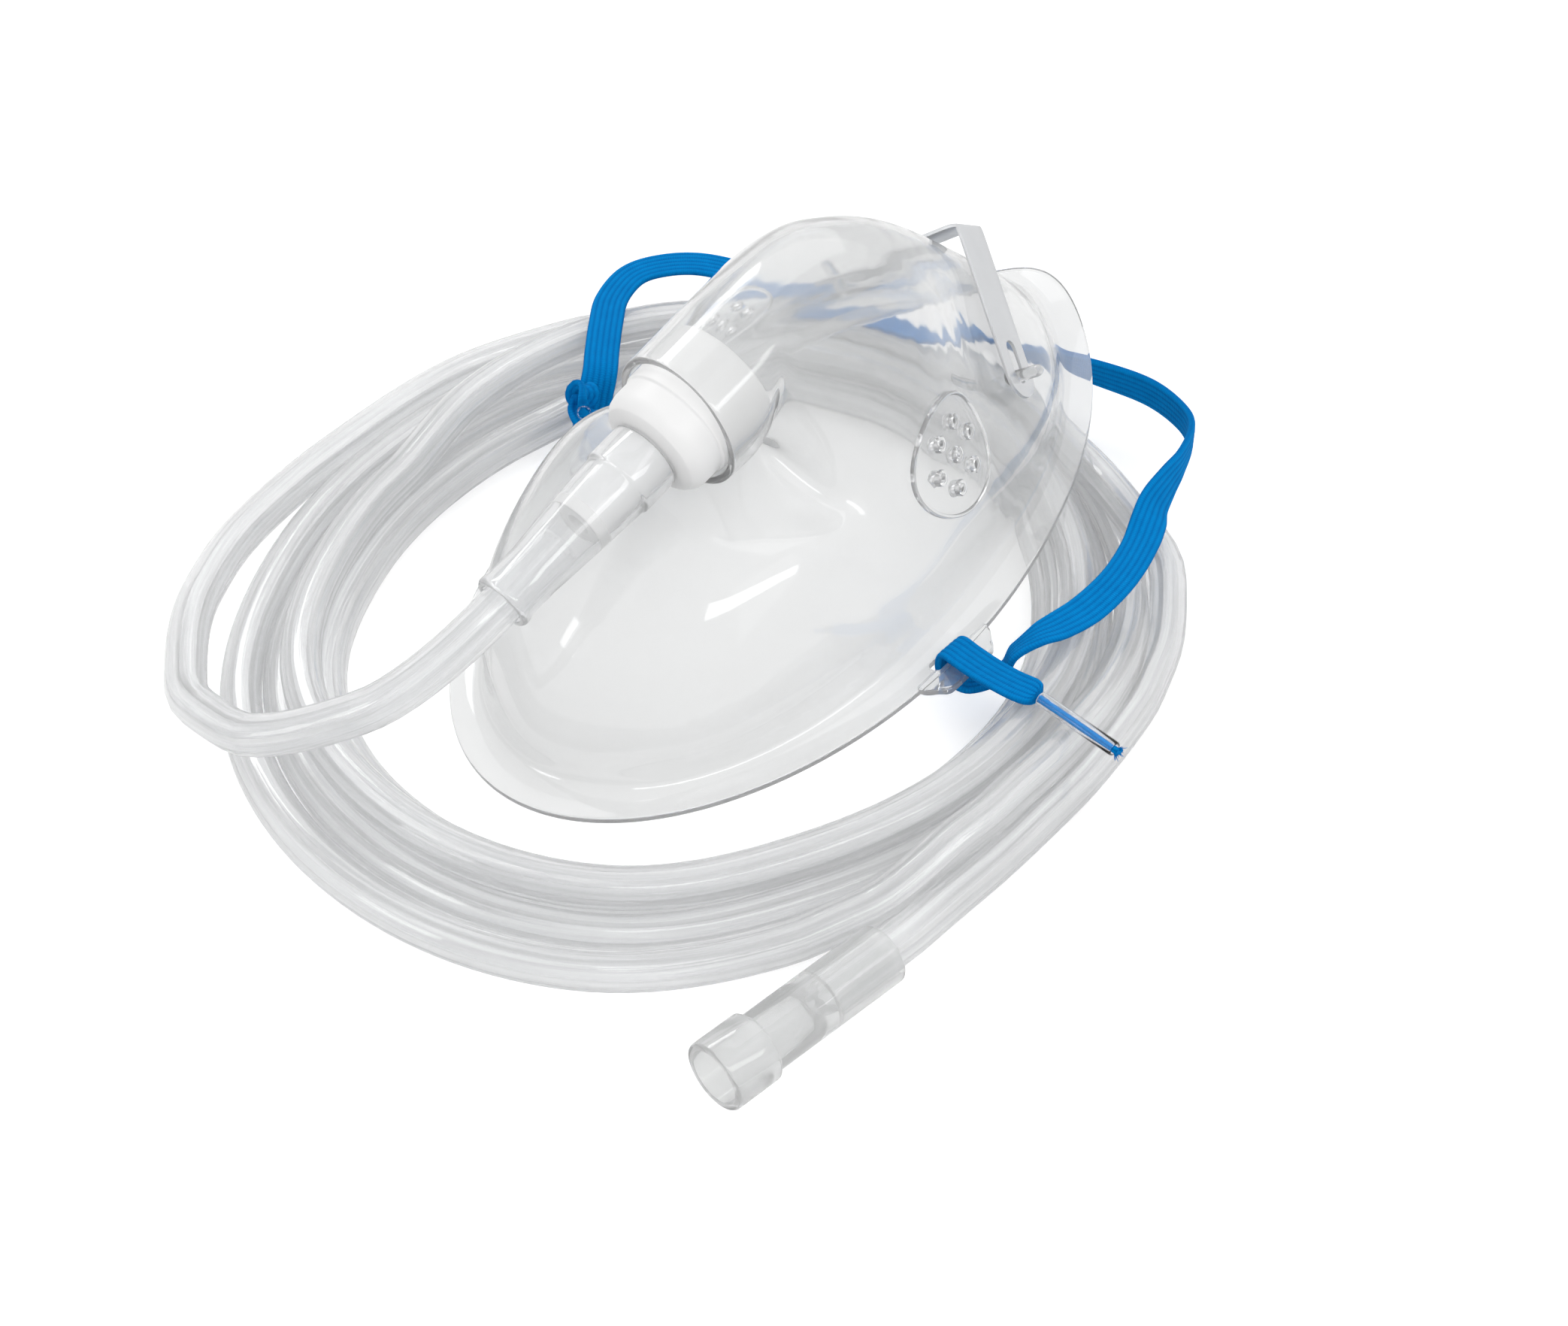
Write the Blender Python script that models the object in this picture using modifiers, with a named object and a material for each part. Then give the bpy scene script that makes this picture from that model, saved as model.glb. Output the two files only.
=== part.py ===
"""Oxygen face mask with its nose clip, inlet connector, coiled supply tube and head strap.

Metres, +Z up. The mask lies with its face opening down: chin towards -Y on the floor, nose towards +Y on the
coil of its own supply tube. The mask's middle plane is X = 0. Routes and outlines are listed in millimetres.
"""

import math

import bmesh
import bpy
import numpy as np
from mathutils import Matrix, Vector
from mathutils.bvhtree import BVHTree

MM = 0.001
GAP = 0.3 * MM  # clearance between pieces that touch

# Mask shell, in its own frame: rim plane at Z = 0, chin towards -Y
HALF_WIDTH = 41.3 * MM
CHIN_LENGTH = 66.3 * MM  # from the widest section to the chin's edge
NOSE_LENGTH = 78.4 * MM  # from the widest section to the nose's edge
WIDEST_Y = -10.0 * MM
DOME_HEIGHT = 60.0 * MM
NOSE_ARCH = 5.6 * MM  # how far the rim lifts over the nose
WALL = 1.3 * MM
FLANGE = 6.3 * MM  # width of the flared rim
NOSE_TAPER = 1.8  # 2 is an ellipse, less is more pointed
RIM_COLUMNS = 8  # cage columns from chin to nose, on one side

# Collar that holds the inlet connector
COLLAR_R = 12.1 * MM
COLLAR_TILT = math.radians(8.5)  # below the rim plane
LIP_Y = -26.3 * MM
LIP_Z = 46.0 * MM
COLLAR_ROOT_BOTTOM = -15.5 * MM
COLLAR_ROOT_TOP = -7.5 * MM

# Strap ears
EAR_THICKNESS = 1.6 * MM
EAR_LIFT = 0.12 * MM
EAR_OUTLINE = ((-0.6, 8.9), (0.9, 8.3), (2.3, 6.9), (3.5, 5.9), (3.9, 4.1))  # from the rim, from the slot
SLOT_INSET = 1.4 * MM  # from the rim's widest place
SLOT_Y = -9.5 * MM
SLOT_WIDTH = 2.4 * MM
SLOT_LENGTH = 8.0 * MM

# Places on the form are shares of its half width, of its nose length and of its dome height

# Vent fields: a raised disc with small holes on each side of the dome
VENT_SHARE = (0.6465, 0.2462, 0.4233)
VENT_FACING = Vector((0.88, 0.27, 0.385)).normalized()
VENT_R = 10.6 * MM
VENT_RAISE = 0.5 * MM
VENT_HOLE_R = 0.8 * MM
VENT_HOLE_RING = 5.6 * MM

# Nose clip and its pegs
PEG_SHARE = (0.4625, 0.5561, 0.315)
PEG_FACING = Vector((4.1, 1.6, 3.0)).normalized()
PEG_R = 0.95 * MM
PEG_LENGTH = 5.6 * MM
CLIP_APEX_SHARE = (0.0, 0.7207, 0.5767)
CLIP_END_SHARE = (0.4988, 0.565, 0.3317)  # where the peg goes through
CLIP_ACROSS = Vector((0.0, 0.77, -0.64)).normalized()
CLIP_HALF_WIDTH = 4.0 * MM
CLIP_THICKNESS = 0.6 * MM
CLIP_PAST_PEG = 4.0 * MM
CLIP_SLOT_R = 1.45 * MM
CLIP_SLOT_REACH = 5.0 * MM

# How the mask lies
PITCH = math.radians(6.8)  # nose up, resting on the coil
SHIFT_Y = 4.4 * MM  # puts the mask's middle at the origin

# Supply tube
TUBE_R = 3.5 * MM
TUBE_START = 28.4 * MM  # inside the cuff, from the collar's lip
COIL_CENTRE = (-1.5, -26.0)
COIL_HEIGHT = 13.1 * MM  # two layers of tube
COIL_DIP = 1.3 * MM  # where the nose presses on it
# Every 30 degrees from +X, counterclockwise
COIL_OUTER = (68.6, 71.4, 78, 83, 81.6, 78.7, 74.1, 75, 81, 84, 82.8, 74.2)
COIL_INNER = (53.9, 56.3, 59, 61, 59.4, 55.8, 53.4, 57.8, 63, 62, 59.4, 55.3)
COIL_SEGMENTS = 72
# The coil's section, in shares of its width and height
COIL_SECTION = (
    (0.08, 0), (0.92, 0), (1, 0.14), (1, 0.36), (0.93, 0.62), (0.8, 0.9),
    (0.68, 1), (0.32, 1), (0.2, 0.9), (0.07, 0.62), (0, 0.36), (0, 0.14),
)
# From the cuff's narrow end round to the coil's outer side
LEAD_ROUTE = (
    (0.1, -78.4, 37.6), (-1, -82.4, 35.7), (-4.2, -86.6, 33), (-9.1, -90.9, 29.5), (-13.5, -94.4, 27),
    (-18.5, -99.7, 23.8), (-24.1, -104.7, 20.5), (-31.6, -105.9, 18.5), (-41.1, -103.7, 16.5),
    (-47.4, -99.4, 15), (-56.6, -91, 13), (-63.5, -82.3, 11), (-71, -68.5, 8.5), (-76.9, -49.6, 5.5),
)
# From the coil's outer side to the supply connector
TAIL_ROUTE = (
    (63.9, 11.8, 3.6), (67.2, 3.6, 3.6), (70.4, -11.3, 3.6), (71.1, -26.1, 3.6), (71.2, -37.8, 3.7),
    (71.1, -48.3, 4.3), (71.4, -56.6, 5.3),
)

# Supply connector, from its tube end to its mouth
SUPPLY_TOP = (71.2, -63.2, 5.95)
SUPPLY_MOUTH = (67.6, -97.9, 5.95)
SUPPLY_LENGTH = 34.9 * MM
SUPPLY_SEAT = 22.3 * MM  # tube's end, from the mouth

# Head strap
STRAP_FITS = 41.3 * MM  # half width of the mask that its route is listed for
STRAP_HALF_WIDTH = 3.2 * MM
STRAP_THICKNESS = 1.1 * MM
TIP_R = 1.25 * MM
TIP_LENGTH = 18.0 * MM
# Place and direction across the strap, from the near tip through both ears to the far tip
STRAP_ROUTE = (
    ((60.2, -11.9, 15), (0, 1, 0.3)), ((58.4, -11.9, 14.9), (0, 1, 0.1)), ((55, -12, 14.4), (0.1, 1, 0)),
    ((49.5, -11.3, 13.2), (0.15, 1, 0)), ((44.5, -10.3, 12.2), (0.1, 1, 0)), ((41, -9.6, 11.6), (0, 1, 0)),
    ((39.9, -9.5, 10.2), (0, 1, 0)), ((39.9, -9.5, 7.8), (0, 1, 0)), ((41, -9.3, 6.3), (0, 1, 0)),
    ((44.4, -8.7, 5.1), (-0.2, 1, 0.1)), ((48, -6.3, 7.3), (-0.5, 0.8, 0.4)), ((49.2, -4, 12), (-0.8, 0.7, 0.3)),
    ((51.2, -1, 14.5), (-1, 0.5, 0.15)), ((52.8, 3, 14.8), (-1, 0.2, 0.1)),
    ((53.7, 9.4, 14.7), (-1, 0, 0.1)), ((53.5, 16.6, 14.6), (-1, 0, 0.05)),
    ((52.5, 22.7, 14.6), (-1, -0.2, 0)), ((50.7, 28.8, 14.6), (-1, -0.3, 0)), ((48.6, 33.8, 14.8), (-1, -0.4, 0.3)),
    ((46.5, 38.4, 14.8), (-0.8, -0.3, 0.8)), ((44.8, 44.7, 14.5), (-0.4, -0.1, 1)), ((43.3, 50.6, 14.2), (-0.1, 0, 1)),
    ((40.1, 57.8, 13.6), (0, 0, 1)), ((35.2, 61.6, 13), (0, 0, 1)), ((26.8, 63.8, 12.3), (0, 0, 1)),
    ((17, 62.4, 12), (0, -0.1, 1)), ((7, 58.7, 12.6), (0.1, -0.4, 1)), ((-4, 54.5, 13), (0.2, -0.8, 0.7)),
    ((-15, 50.4, 12.8), (0.3, -1, 0.2)), ((-27, 46.2, 12.8), (0.35, -1, 0)), ((-40, 42, 13), (0.3, -1, 0)),
    ((-50, 39.3, 13.8), (0.3, -1, 0)), ((-57.5, 35.6, 14.4), (0.7, -1, 0)), ((-62.5, 30.5, 14.5), (1, -0.7, 0)),
    ((-64.8, 24.5, 14.5), (1, -0.1, 0)), ((-62.8, 17, 14.6), (1, 0.5, 0)), ((-58.3, 10.6, 14.9), (1, 0.8, 0)),
    ((-53.3, 4.4, 14.9), (0.9, 0.9, 0)), ((-50, 0.4, 14.2), (0.8, 0.9, 0)), ((-48.4, -2.8, 11), (0.7, 0.8, -0.1)),
    ((-47, -5.8, 7.4), (0.4, 0.9, -0.1)), ((-44.6, -8.2, 5.8), (0.1, 1, 0)), ((-41.4, -9.3, 6), (0, 1, 0)),
    ((-39.9, -9.5, 7.8), (0, 1, 0)), ((-39.9, -9.5, 10.2), (0, 1, 0)), ((-41, -9.6, 12.2), (0, 1, 0)),
    ((-43.6, -9.4, 13), (-0.1, 1, -0.1)), ((-46.4, -8.2, 13.4), (-0.3, 0.8, -0.3)),
    ((-47.8, -6.8, 14.5), (-0.4, 0.7, -0.5)), ((-46.7, -7.3, 15.8), (-0.5, 0.6, -0.6)),
    ((-45, -9, 15.9), (-0.5, 0.5, -0.6)), ((-43.8, -10.1, 15.9), (-0.5, 0.5, -0.6)),
)
NEAR_TIP = ((60.8, -12, 15), (76.4, -13, 15))
FAR_TIP = ((-42.6, -11.2, 16.2), (-32.6, -20.7, 28))

MASK_NAME = "oxygen_mask"


def clear_scene():
    for obj in list(bpy.data.objects):
        bpy.data.objects.remove(obj, do_unlink=True)


def new_collection(name):
    found = bpy.data.collections.new(name)
    bpy.context.scene.collection.children.link(found)
    return found


def material(name, colour, roughness, metallic=0.0, alpha=1.0):
    made = bpy.data.materials.new(name)
    made.use_nodes = True
    shader = made.node_tree.nodes["Principled BSDF"]
    shader.inputs["Base Color"].default_value = (*colour, 1.0)
    shader.inputs["Roughness"].default_value = roughness
    shader.inputs["Metallic"].default_value = metallic
    shader.inputs["Alpha"].default_value = alpha
    made.diffuse_color = (*colour, alpha)
    return made


def add_object(name, mesh, collection, finish=None, parent=None):
    obj = bpy.data.objects.new(name, mesh)
    collection.objects.link(obj)
    if finish:
        obj.data.materials.append(finish)
    obj.parent = parent
    return obj


def in_metres(points):
    return [Vector(point) * MM for point in points]


# Bodies made by drawing a loop of points along


def lofted(name, rows, close_ends=False, joined=False):
    """A mesh of quads through closed loops, made by extruding the first loop.

    close_ends puts a face on the first and the last loop, joined welds the last loop to the first.
    """
    mesh = bpy.data.meshes.new(name)
    bm = bmesh.new()
    around = len(rows[0])
    ring = bmesh.ops.create_circle(bm, segments=around, radius=1.0)["verts"]
    for vert, place in zip(ring, rows[0]):
        vert.co = place
    edges = [bm.edges.get((ring[i], ring[(i + 1) % around])) for i in range(around)]
    order = list(ring)
    ends = list(edges)
    for row in rows[1:]:
        made = bmesh.ops.extrude_edge_only(bm, edges=edges)["geom"]
        new_verts = {v for v in made if isinstance(v, bmesh.types.BMVert)}
        following = []
        for vert in order:
            mate = next(e.other_vert(vert) for e in vert.link_edges if e.other_vert(vert) in new_verts)
            following.append(mate)
        for vert, place in zip(following, row):
            vert.co = place
        order = following
        edges = [bm.edges.get((order[i], order[(i + 1) % around])) for i in range(around)]
    if close_ends:
        bmesh.ops.holes_fill(bm, edges=ends + edges, sides=0)
    if joined:
        bmesh.ops.remove_doubles(bm, verts=bm.verts, dist=0.00001)
    bmesh.ops.recalc_face_normals(bm, faces=bm.faces)
    bm.to_mesh(mesh)
    bm.free()
    return mesh


def prism(outline, low, high, place):
    """An outline in the XY plane given height from low to high, then set by the matrix place."""
    rows = [[place @ Vector((x, y, z)) for x, y in outline] for z in (low, high)]
    return lofted("prism", rows, close_ends=True)


def circle(radius, segments):
    turns = [2 * math.pi * i / segments for i in range(segments)]
    return [(radius * math.cos(turn), radius * math.sin(turn)) for turn in turns]


def facing(place, direction, upright=Vector((0, 0, 1))):
    """A frame at a place with its Z along a direction."""
    z = direction.normalized()
    x = upright.cross(z).normalized()
    y = z.cross(x)
    rotation = Matrix((x, y, z)).transposed().to_4x4()
    return Matrix.Translation(place) @ rotation


def mirrored(matrix):
    """The frame on the other side of the mask's middle plane, still right-handed."""
    flip = Matrix.Diagonal((-1, 1, 1, 1))
    turn_back = Matrix.Diagonal((-1, 1, 1, 1))
    return flip @ matrix @ turn_back


def joined_mesh(name, meshes):
    """Several meshes as one, each staying a body of its own."""
    bm = bmesh.new()
    for mesh in meshes:
        bm.from_mesh(mesh)
        bpy.data.meshes.remove(mesh)
    made = bpy.data.meshes.new(name)
    bm.to_mesh(made)
    bm.free()
    return made


def turned(name, profile, steps, frame, collection, finish, parent):
    """A body turned about its frame's Z. The profile (radius, height in mm) is a closed loop, outer side first."""
    mesh = bpy.data.meshes.new(name)
    bm = bmesh.new()
    ring = bmesh.ops.create_circle(bm, segments=len(profile), radius=1.0)["verts"]
    for vert, (radius, height) in zip(ring, profile):
        vert.co = (radius * MM, 0, height * MM)
    bm.to_mesh(mesh)
    bm.free()
    obj = add_object(name, mesh, collection, finish, parent)
    obj.matrix_local = frame
    screw = obj.modifiers.new("turn", "SCREW")
    screw.axis = "Z"
    screw.angle = 2 * math.pi
    screw.steps = steps
    screw.render_steps = steps
    screw.use_merge_vertices = True
    screw.merge_threshold = 0.00001
    screw.use_normal_flip = True
    return obj


def smooth_route(points, per_span):
    """Points of a smooth curve through all the given points."""
    ahead = [2 * points[0] - points[1], *points, 2 * points[-1] - points[-2]]
    made = []
    for i in range(1, len(ahead) - 2):
        a, b, c, d = ahead[i - 1 : i + 3]
        for step in range(per_span):
            t = step / per_span
            made.append(0.5 * (2 * b + (c - a) * t + (2 * a - 5 * b + 4 * c - d) * t**2 + (3 * b - a - 3 * c + d) * t**3))
    made.append(points[-1].copy())
    return made


def tube(name, points, radius, collection, finish, parent):
    """A round rod along a route, with flat ends."""
    curve = bpy.data.curves.new(name, "CURVE")
    curve.dimensions = "3D"
    curve.bevel_depth = radius
    curve.bevel_resolution = 4
    curve.use_fill_caps = True
    spline = curve.splines.new("POLY")
    spline.points.add(len(points) - 1)
    for spot, place in zip(spline.points, points):
        spot.co = (*place, 1.0)
    return add_object(name, curve, collection, finish, parent)


# Mask shell


def rim_point(column):
    """Outer edge of the rim at a cage column, from 0 at the chin to RIM_COLUMNS at the nose."""
    turn = math.pi * column / RIM_COLUMNS
    if turn <= math.pi / 2:
        return HALF_WIDTH * math.sin(turn), WIDEST_Y - CHIN_LENGTH * math.cos(turn)
    power = 2 / NOSE_TAPER
    x = HALF_WIDTH * max(math.sin(turn), 0.0) ** power
    return x, WIDEST_Y + NOSE_LENGTH * abs(math.cos(turn)) ** power


def share_point(x, y, z):
    """A point of the form, from shares of half width, of chin or nose length, and of dome height."""
    length = NOSE_LENGTH if y > 0 else CHIN_LENGTH
    return x * HALF_WIDTH, WIDEST_Y + y * length, z * DOME_HEIGHT


def form_place(share):
    return Vector(share_point(*share))


# One row for each loop between the rim and the collar, each from the chin's column to the nose's
FORM_LOOPS = (
    # Low on the wall
    ((0, -0.868, 0.17), (0.33, -0.79, 0.175), (0.605, -0.65, 0.18), (0.78, -0.355, 0.185), (0.805, -0.005, 0.17),
     (0.76, 0.29, 0.18), (0.56, 0.605, 0.18), (0.285, 0.785, 0.20), (0, 0.842, 0.25)),
    # Half way up
    ((0, -0.70, 0.41), (0.29, -0.64, 0.40), (0.53, -0.53, 0.40), (0.70, -0.30, 0.385), (0.715, 0.01, 0.31),
     (0.685, 0.225, 0.38), (0.46, 0.46, 0.41), (0.235, 0.60, 0.46), (0, 0.667, 0.528)),
    # High on the wall
    ((0, -0.40, 0.572), (0.22, -0.38, 0.56), (0.41, -0.31, 0.545), (0.58, -0.18, 0.505), (0.60, 0.0, 0.43),
     (0.585, 0.15, 0.58), (0.41, 0.34, 0.72), (0.205, 0.455, 0.74), (0, 0.475, 0.815)),
    # Crease below the collar, crown of the dome above it
    ((0, -0.105, 0.58), (0.13, -0.10, 0.57), (0.285, -0.075, 0.525), (0.435, -0.04, 0.48), (0.465, 0.01, 0.565),
     (0.41, 0.08, 0.765), (0.27, 0.20, 0.91), (0.145, 0.25, 0.975), (0, 0.26, 1.0)),
)


def collar_point(column, share, radius=None):
    """On the collar, by clock column (0 at 6 o'clock) and share of the way from its root to its lip."""
    turn = math.pi * column / RIM_COLUMNS
    radius = COLLAR_R if radius is None else radius
    root = COLLAR_ROOT_BOTTOM + (COLLAR_ROOT_TOP - COLLAR_ROOT_BOTTOM) * (1 - math.cos(turn)) / 2
    y = root + (LIP_Y - root) * share
    centre_z = LIP_Z + (y - LIP_Y) * math.tan(COLLAR_TILT)
    return radius * math.sin(turn), y, centre_z - radius * math.cos(turn) / math.cos(COLLAR_TILT)


def rim_loop(row):
    """The rim's edge (row 0) or the flange's inner line (row 1), on the +X side from chin to nose."""
    points = []
    for column in range(RIM_COLUMNS + 1):
        x, y = rim_point(column)
        lift = NOSE_ARCH * max(0.0, (column - RIM_COLUMNS + 2) / 2) ** 2
        inset = 1 - row * FLANGE / math.hypot(x, y - WIDEST_Y)
        points.append((x * inset, WIDEST_Y + (y - WIDEST_Y) * inset, (1 + row) * WALL + lift))
    return points


def shell_loops():
    """Every loop of surface points, from the rim's edge to the collar's lip, on the +X side."""
    columns = range(RIM_COLUMNS + 1)
    loops = [rim_loop(0), rim_loop(1)]
    loops += [[share_point(*point) for point in row] for row in FORM_LOOPS]
    loops += [[collar_point(column, share) for column in columns] for share in (0.0, 0.35, 1.0)]
    return loops


def full_round(half):
    """A half loop and its mirror image, as one closed loop."""
    mirror = [(-x, y, z) for x, y, z in half[-2:0:-1]]
    return list(half) + mirror


def fitted_cage(targets, rounds=12):
    """Cage points whose subdivision surface passes through the targets. Rows are loops, columns go round."""
    cage = targets.copy()
    for _ in range(rounds):
        across = np.roll(cage, 1, axis=1) + np.roll(cage, -1, axis=1)
        column_mean = (across + 4 * cage) / 6
        reached = column_mean.copy()
        reached[1:-1] = (column_mean[:-2] + 4 * column_mean[1:-1] + column_mean[2:]) / 6
        cage += targets - reached
    return cage


def shell_sheet(name, collection, parent):
    """The shell's outer surface as an open sheet, in the mask's own frame."""
    targets = np.array([full_round(half) for half in shell_loops()])
    sheet = lofted(name, fitted_cage(targets))
    obj = add_object(name, sheet, collection, parent=parent)
    smooth = obj.modifiers.new("smooth", "SUBSURF")
    smooth.levels = 2
    smooth.render_levels = 2
    return obj


def add_wall(obj, thickness, offset):
    wall = obj.modifiers.new("wall", "SOLIDIFY")
    wall.thickness = thickness
    wall.offset = offset


def add_boolean(obj, other, operation):
    cut = obj.modifiers.new(operation.lower(), "BOOLEAN")
    cut.operation = operation
    cut.solver = "EXACT"
    cut.object = other


def hidden(obj):
    obj.hide_render = True
    obj.display_type = "WIRE"
    return obj


def ear_mesh(side):
    """A strap ear: a tab that stands out past the rim."""
    upper = [(HALF_WIDTH + out * MM, SLOT_Y + up * MM) for out, up in EAR_OUTLINE]
    lower = [(x, 2 * SLOT_Y - y) for x, y in reversed(upper)]
    place = Matrix.Diagonal((side, 1, 1, 1))
    return prism(upper + lower, EAR_LIFT, EAR_LIFT + EAR_THICKNESS, place)


def slot_mesh(side):
    x, y = (HALF_WIDTH - SLOT_INSET) * side, SLOT_Y
    half = SLOT_WIDTH / 2
    reach = SLOT_LENGTH / 2
    outline = [(x - half, y - reach), (x + half, y - reach), (x + half, y + reach), (x - half, y + reach)]
    return prism(outline, -3 * MM, 6 * MM, Matrix())


def both_sides(make, frame):
    """Bodies made in a frame and in its mirror image."""
    return [make(frame), make(mirrored(frame))]


def peg_frame(surface):
    """Where the peg leaves the shell, with Z outwards along the peg."""
    hit = surface.ray_cast(form_place(PEG_SHARE) + PEG_FACING * 0.02, -PEG_FACING)[0]
    return facing(hit, PEG_FACING)


def mask_shell(collection, cutters, finish, parent):
    shell = shell_sheet("mask_shell", collection, parent)
    shell.data.materials.append(finish)
    surface = BVHTree.FromObject(shell, bpy.context.evaluated_depsgraph_get())

    pad_sheet = hidden(shell_sheet("vent_pad_sheet", cutters, parent))
    add_wall(pad_sheet, VENT_RAISE + 0.4 * MM, 1 - 0.8 * MM / (VENT_RAISE + 0.4 * MM))
    vent = facing(form_place(VENT_SHARE), VENT_FACING)
    discs = both_sides(lambda f: prism(circle(VENT_R, 32), -9 * MM, 9 * MM, f), vent)
    disc = hidden(add_object("vent_discs", joined_mesh("vent_discs", discs), cutters, parent=parent))
    add_boolean(pad_sheet, disc, "INTERSECT")

    peg = peg_frame(surface)
    extras = [ear_mesh(1), ear_mesh(-1)]
    extras += both_sides(lambda f: prism(circle(PEG_R, 12), -0.8 * MM, PEG_LENGTH, f), peg)
    extra = hidden(add_object("ears_and_pegs", joined_mesh("ears_and_pegs", extras), cutters, parent=parent))

    holes = [slot_mesh(1), slot_mesh(-1)]
    spots = [(0.0, 0.0)] + [(x, y) for x, y in circle(VENT_HOLE_RING, 6)]
    for x, y in spots:
        spot = vent @ Matrix.Translation((x, y, 0))
        holes += both_sides(lambda f: prism(circle(VENT_HOLE_R, 10), -7 * MM, 7 * MM, f), spot)
    hole = hidden(add_object("slots_and_holes", joined_mesh("slots_and_holes", holes), cutters, parent=parent))

    add_wall(shell, WALL, -1)
    add_boolean(shell, pad_sheet, "UNION")
    add_boolean(shell, extra, "UNION")
    add_boolean(shell, hole, "DIFFERENCE")
    return shell


# Nose clip


def clip_rows():
    """Loops of four corners along the bent strip, from the +X end to the -X end."""
    apex = form_place(CLIP_APEX_SHARE)
    end = form_place(CLIP_END_SHARE)
    leg = (end - apex).normalized()
    length = (end - apex).length + CLIP_PAST_PEG
    right = []
    for short, share in ((0, 0.32), (0.5, 0.66), (1.3, 0.86), (2.6, 0.98), (4, 1), (12, 1)):
        right.append((apex + leg * (length - short * MM), share))
    for distance, drop in ((2.6, 0), (1.2, 0.12)):
        right.append((apex + leg * distance * MM - Vector((0, 0, drop * MM)), 1))
    middle = apex - Vector((0, 0, 0.55 * MM))
    left = [(Vector((-p.x, p.y, p.z)), share) for p, share in reversed(right)]
    stations = [*right, (middle, 1), *left]
    rows = []
    for i, (place, share) in enumerate(stations):
        before = stations[max(i - 1, 0)][0]
        after = stations[min(i + 1, len(stations) - 1)][0]
        outward = CLIP_ACROSS.cross((after - before).normalized()).normalized()
        across = CLIP_ACROSS * CLIP_HALF_WIDTH * share
        rise = outward * CLIP_THICKNESS / 2
        rows.append([place + across + rise, place - across + rise, place - across - rise, place + across - rise])
    return rows


def stadium(radius, reach, segments=6):
    """Outline of a slot, its lower end's centre at the origin and its upper end's at Y = reach."""
    points = []
    for i in range(segments + 1):
        turn = math.pi * i / segments
        points.append((radius * math.cos(turn), reach + radius * math.sin(turn)))
    for i in range(segments + 1):
        turn = math.pi + math.pi * i / segments
        points.append((radius * math.cos(turn), radius * math.sin(turn)))
    return points


def nose_clip(collection, cutters, finish, parent):
    clip = add_object("nose_clip", lofted("nose_clip", clip_rows(), close_ends=True), collection, finish, parent)
    end = form_place(CLIP_END_SHARE)
    leg = (form_place(CLIP_APEX_SHARE) - end).normalized()
    outward = leg.cross(CLIP_ACROSS).normalized()
    if outward.z < 0:
        outward = -outward
    rotation = Matrix((leg.cross(outward), leg, outward)).transposed().to_4x4()
    slot = Matrix.Translation(end) @ rotation
    outline = stadium(CLIP_SLOT_R, CLIP_SLOT_REACH)
    slots = both_sides(lambda f: prism(outline, -3 * MM, 3 * MM, f), slot)
    cut = hidden(add_object("clip_slots", joined_mesh("clip_slots", slots), cutters, parent=parent))
    add_boolean(clip, cut, "DIFFERENCE")
    return clip


# Connectors, all on the collar's axis except the supply connector


def collar_frame():
    """A frame at the collar's lip with Z outwards along its axis."""
    direction = Vector((0, -math.cos(COLLAR_TILT), -math.sin(COLLAR_TILT)))
    return facing(Vector((0, LIP_Y, LIP_Z)), direction)


INLET_PROFILE = (
    (3.1, 23.9), (4.75, 15), (4.8, 7.1), (7, 7.1), (8.7, 6.4), (9.6, 5.2), (9.9, 3.8), (9.9, 0.6), (10.3, 0.3),
    (10.3, -5.5), (8.9, -5.5), (8.4, 3.5), (6.5, 5), (2, 6), (2, 23.9),
)
CUFF_PROFILE = (
    (4.65, 41.7), (4.75, 34), (5.4, 24.5), (5.9, 16.4), (6, 14.7), (6.35, 14.3), (6.35, 7.6), (5.15, 7.6),
    (5.15, 15.3), (3.9, 25.5), (3.9, 41.7),
)
SUPPLY_PROFILE = (
    (4.75, 34.9), (5.05, 34.5), (5.05, 9), (5.9, 8.4), (5.9, 0.2), (5.7, 0), (4.7, 0), (4.2, 12.5), (2.2, 15),
    (2.2, 21.8), (3.9, 22), (3.9, 34.9),
)


# Supply tube


def round_list(values, share):
    """Smooth value at a share of the whole turn, from values at equal steps round it."""
    count = len(values)
    place = share * count
    i = int(math.floor(place)) % count
    t = place - math.floor(place)
    a, b, c, d = (values[(i + k) % count] for k in (-1, 0, 1, 2))
    return 0.5 * (2 * b + (c - a) * t + (2 * a - 5 * b + 4 * c - d) * t**2 + (3 * b - a - 3 * c + d) * t**3)


def coil_height(turn):
    """Height of the coil at an angle from +X: it is pressed down where the nose rests."""
    near_nose = max(0.0, math.cos(turn - math.pi / 2))
    return COIL_HEIGHT - COIL_DIP * min(1.0, 1.6 * near_nose) ** 2


def coil_rows():
    rows = []
    for step in range(COIL_SEGMENTS + 1):
        share = (step % COIL_SEGMENTS) / COIL_SEGMENTS
        turn = 2 * math.pi * share
        inner = round_list(COIL_INNER, share)
        outer = round_list(COIL_OUTER, share)
        row = []
        for across, up in COIL_SECTION:
            radius = inner + (outer - inner) * across
            x = COIL_CENTRE[0] + radius * math.cos(turn)
            y = COIL_CENTRE[1] + radius * math.sin(turn)
            row.append((x * MM, y * MM, up * coil_height(turn)))
        rows.append(row)
    return rows


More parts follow.
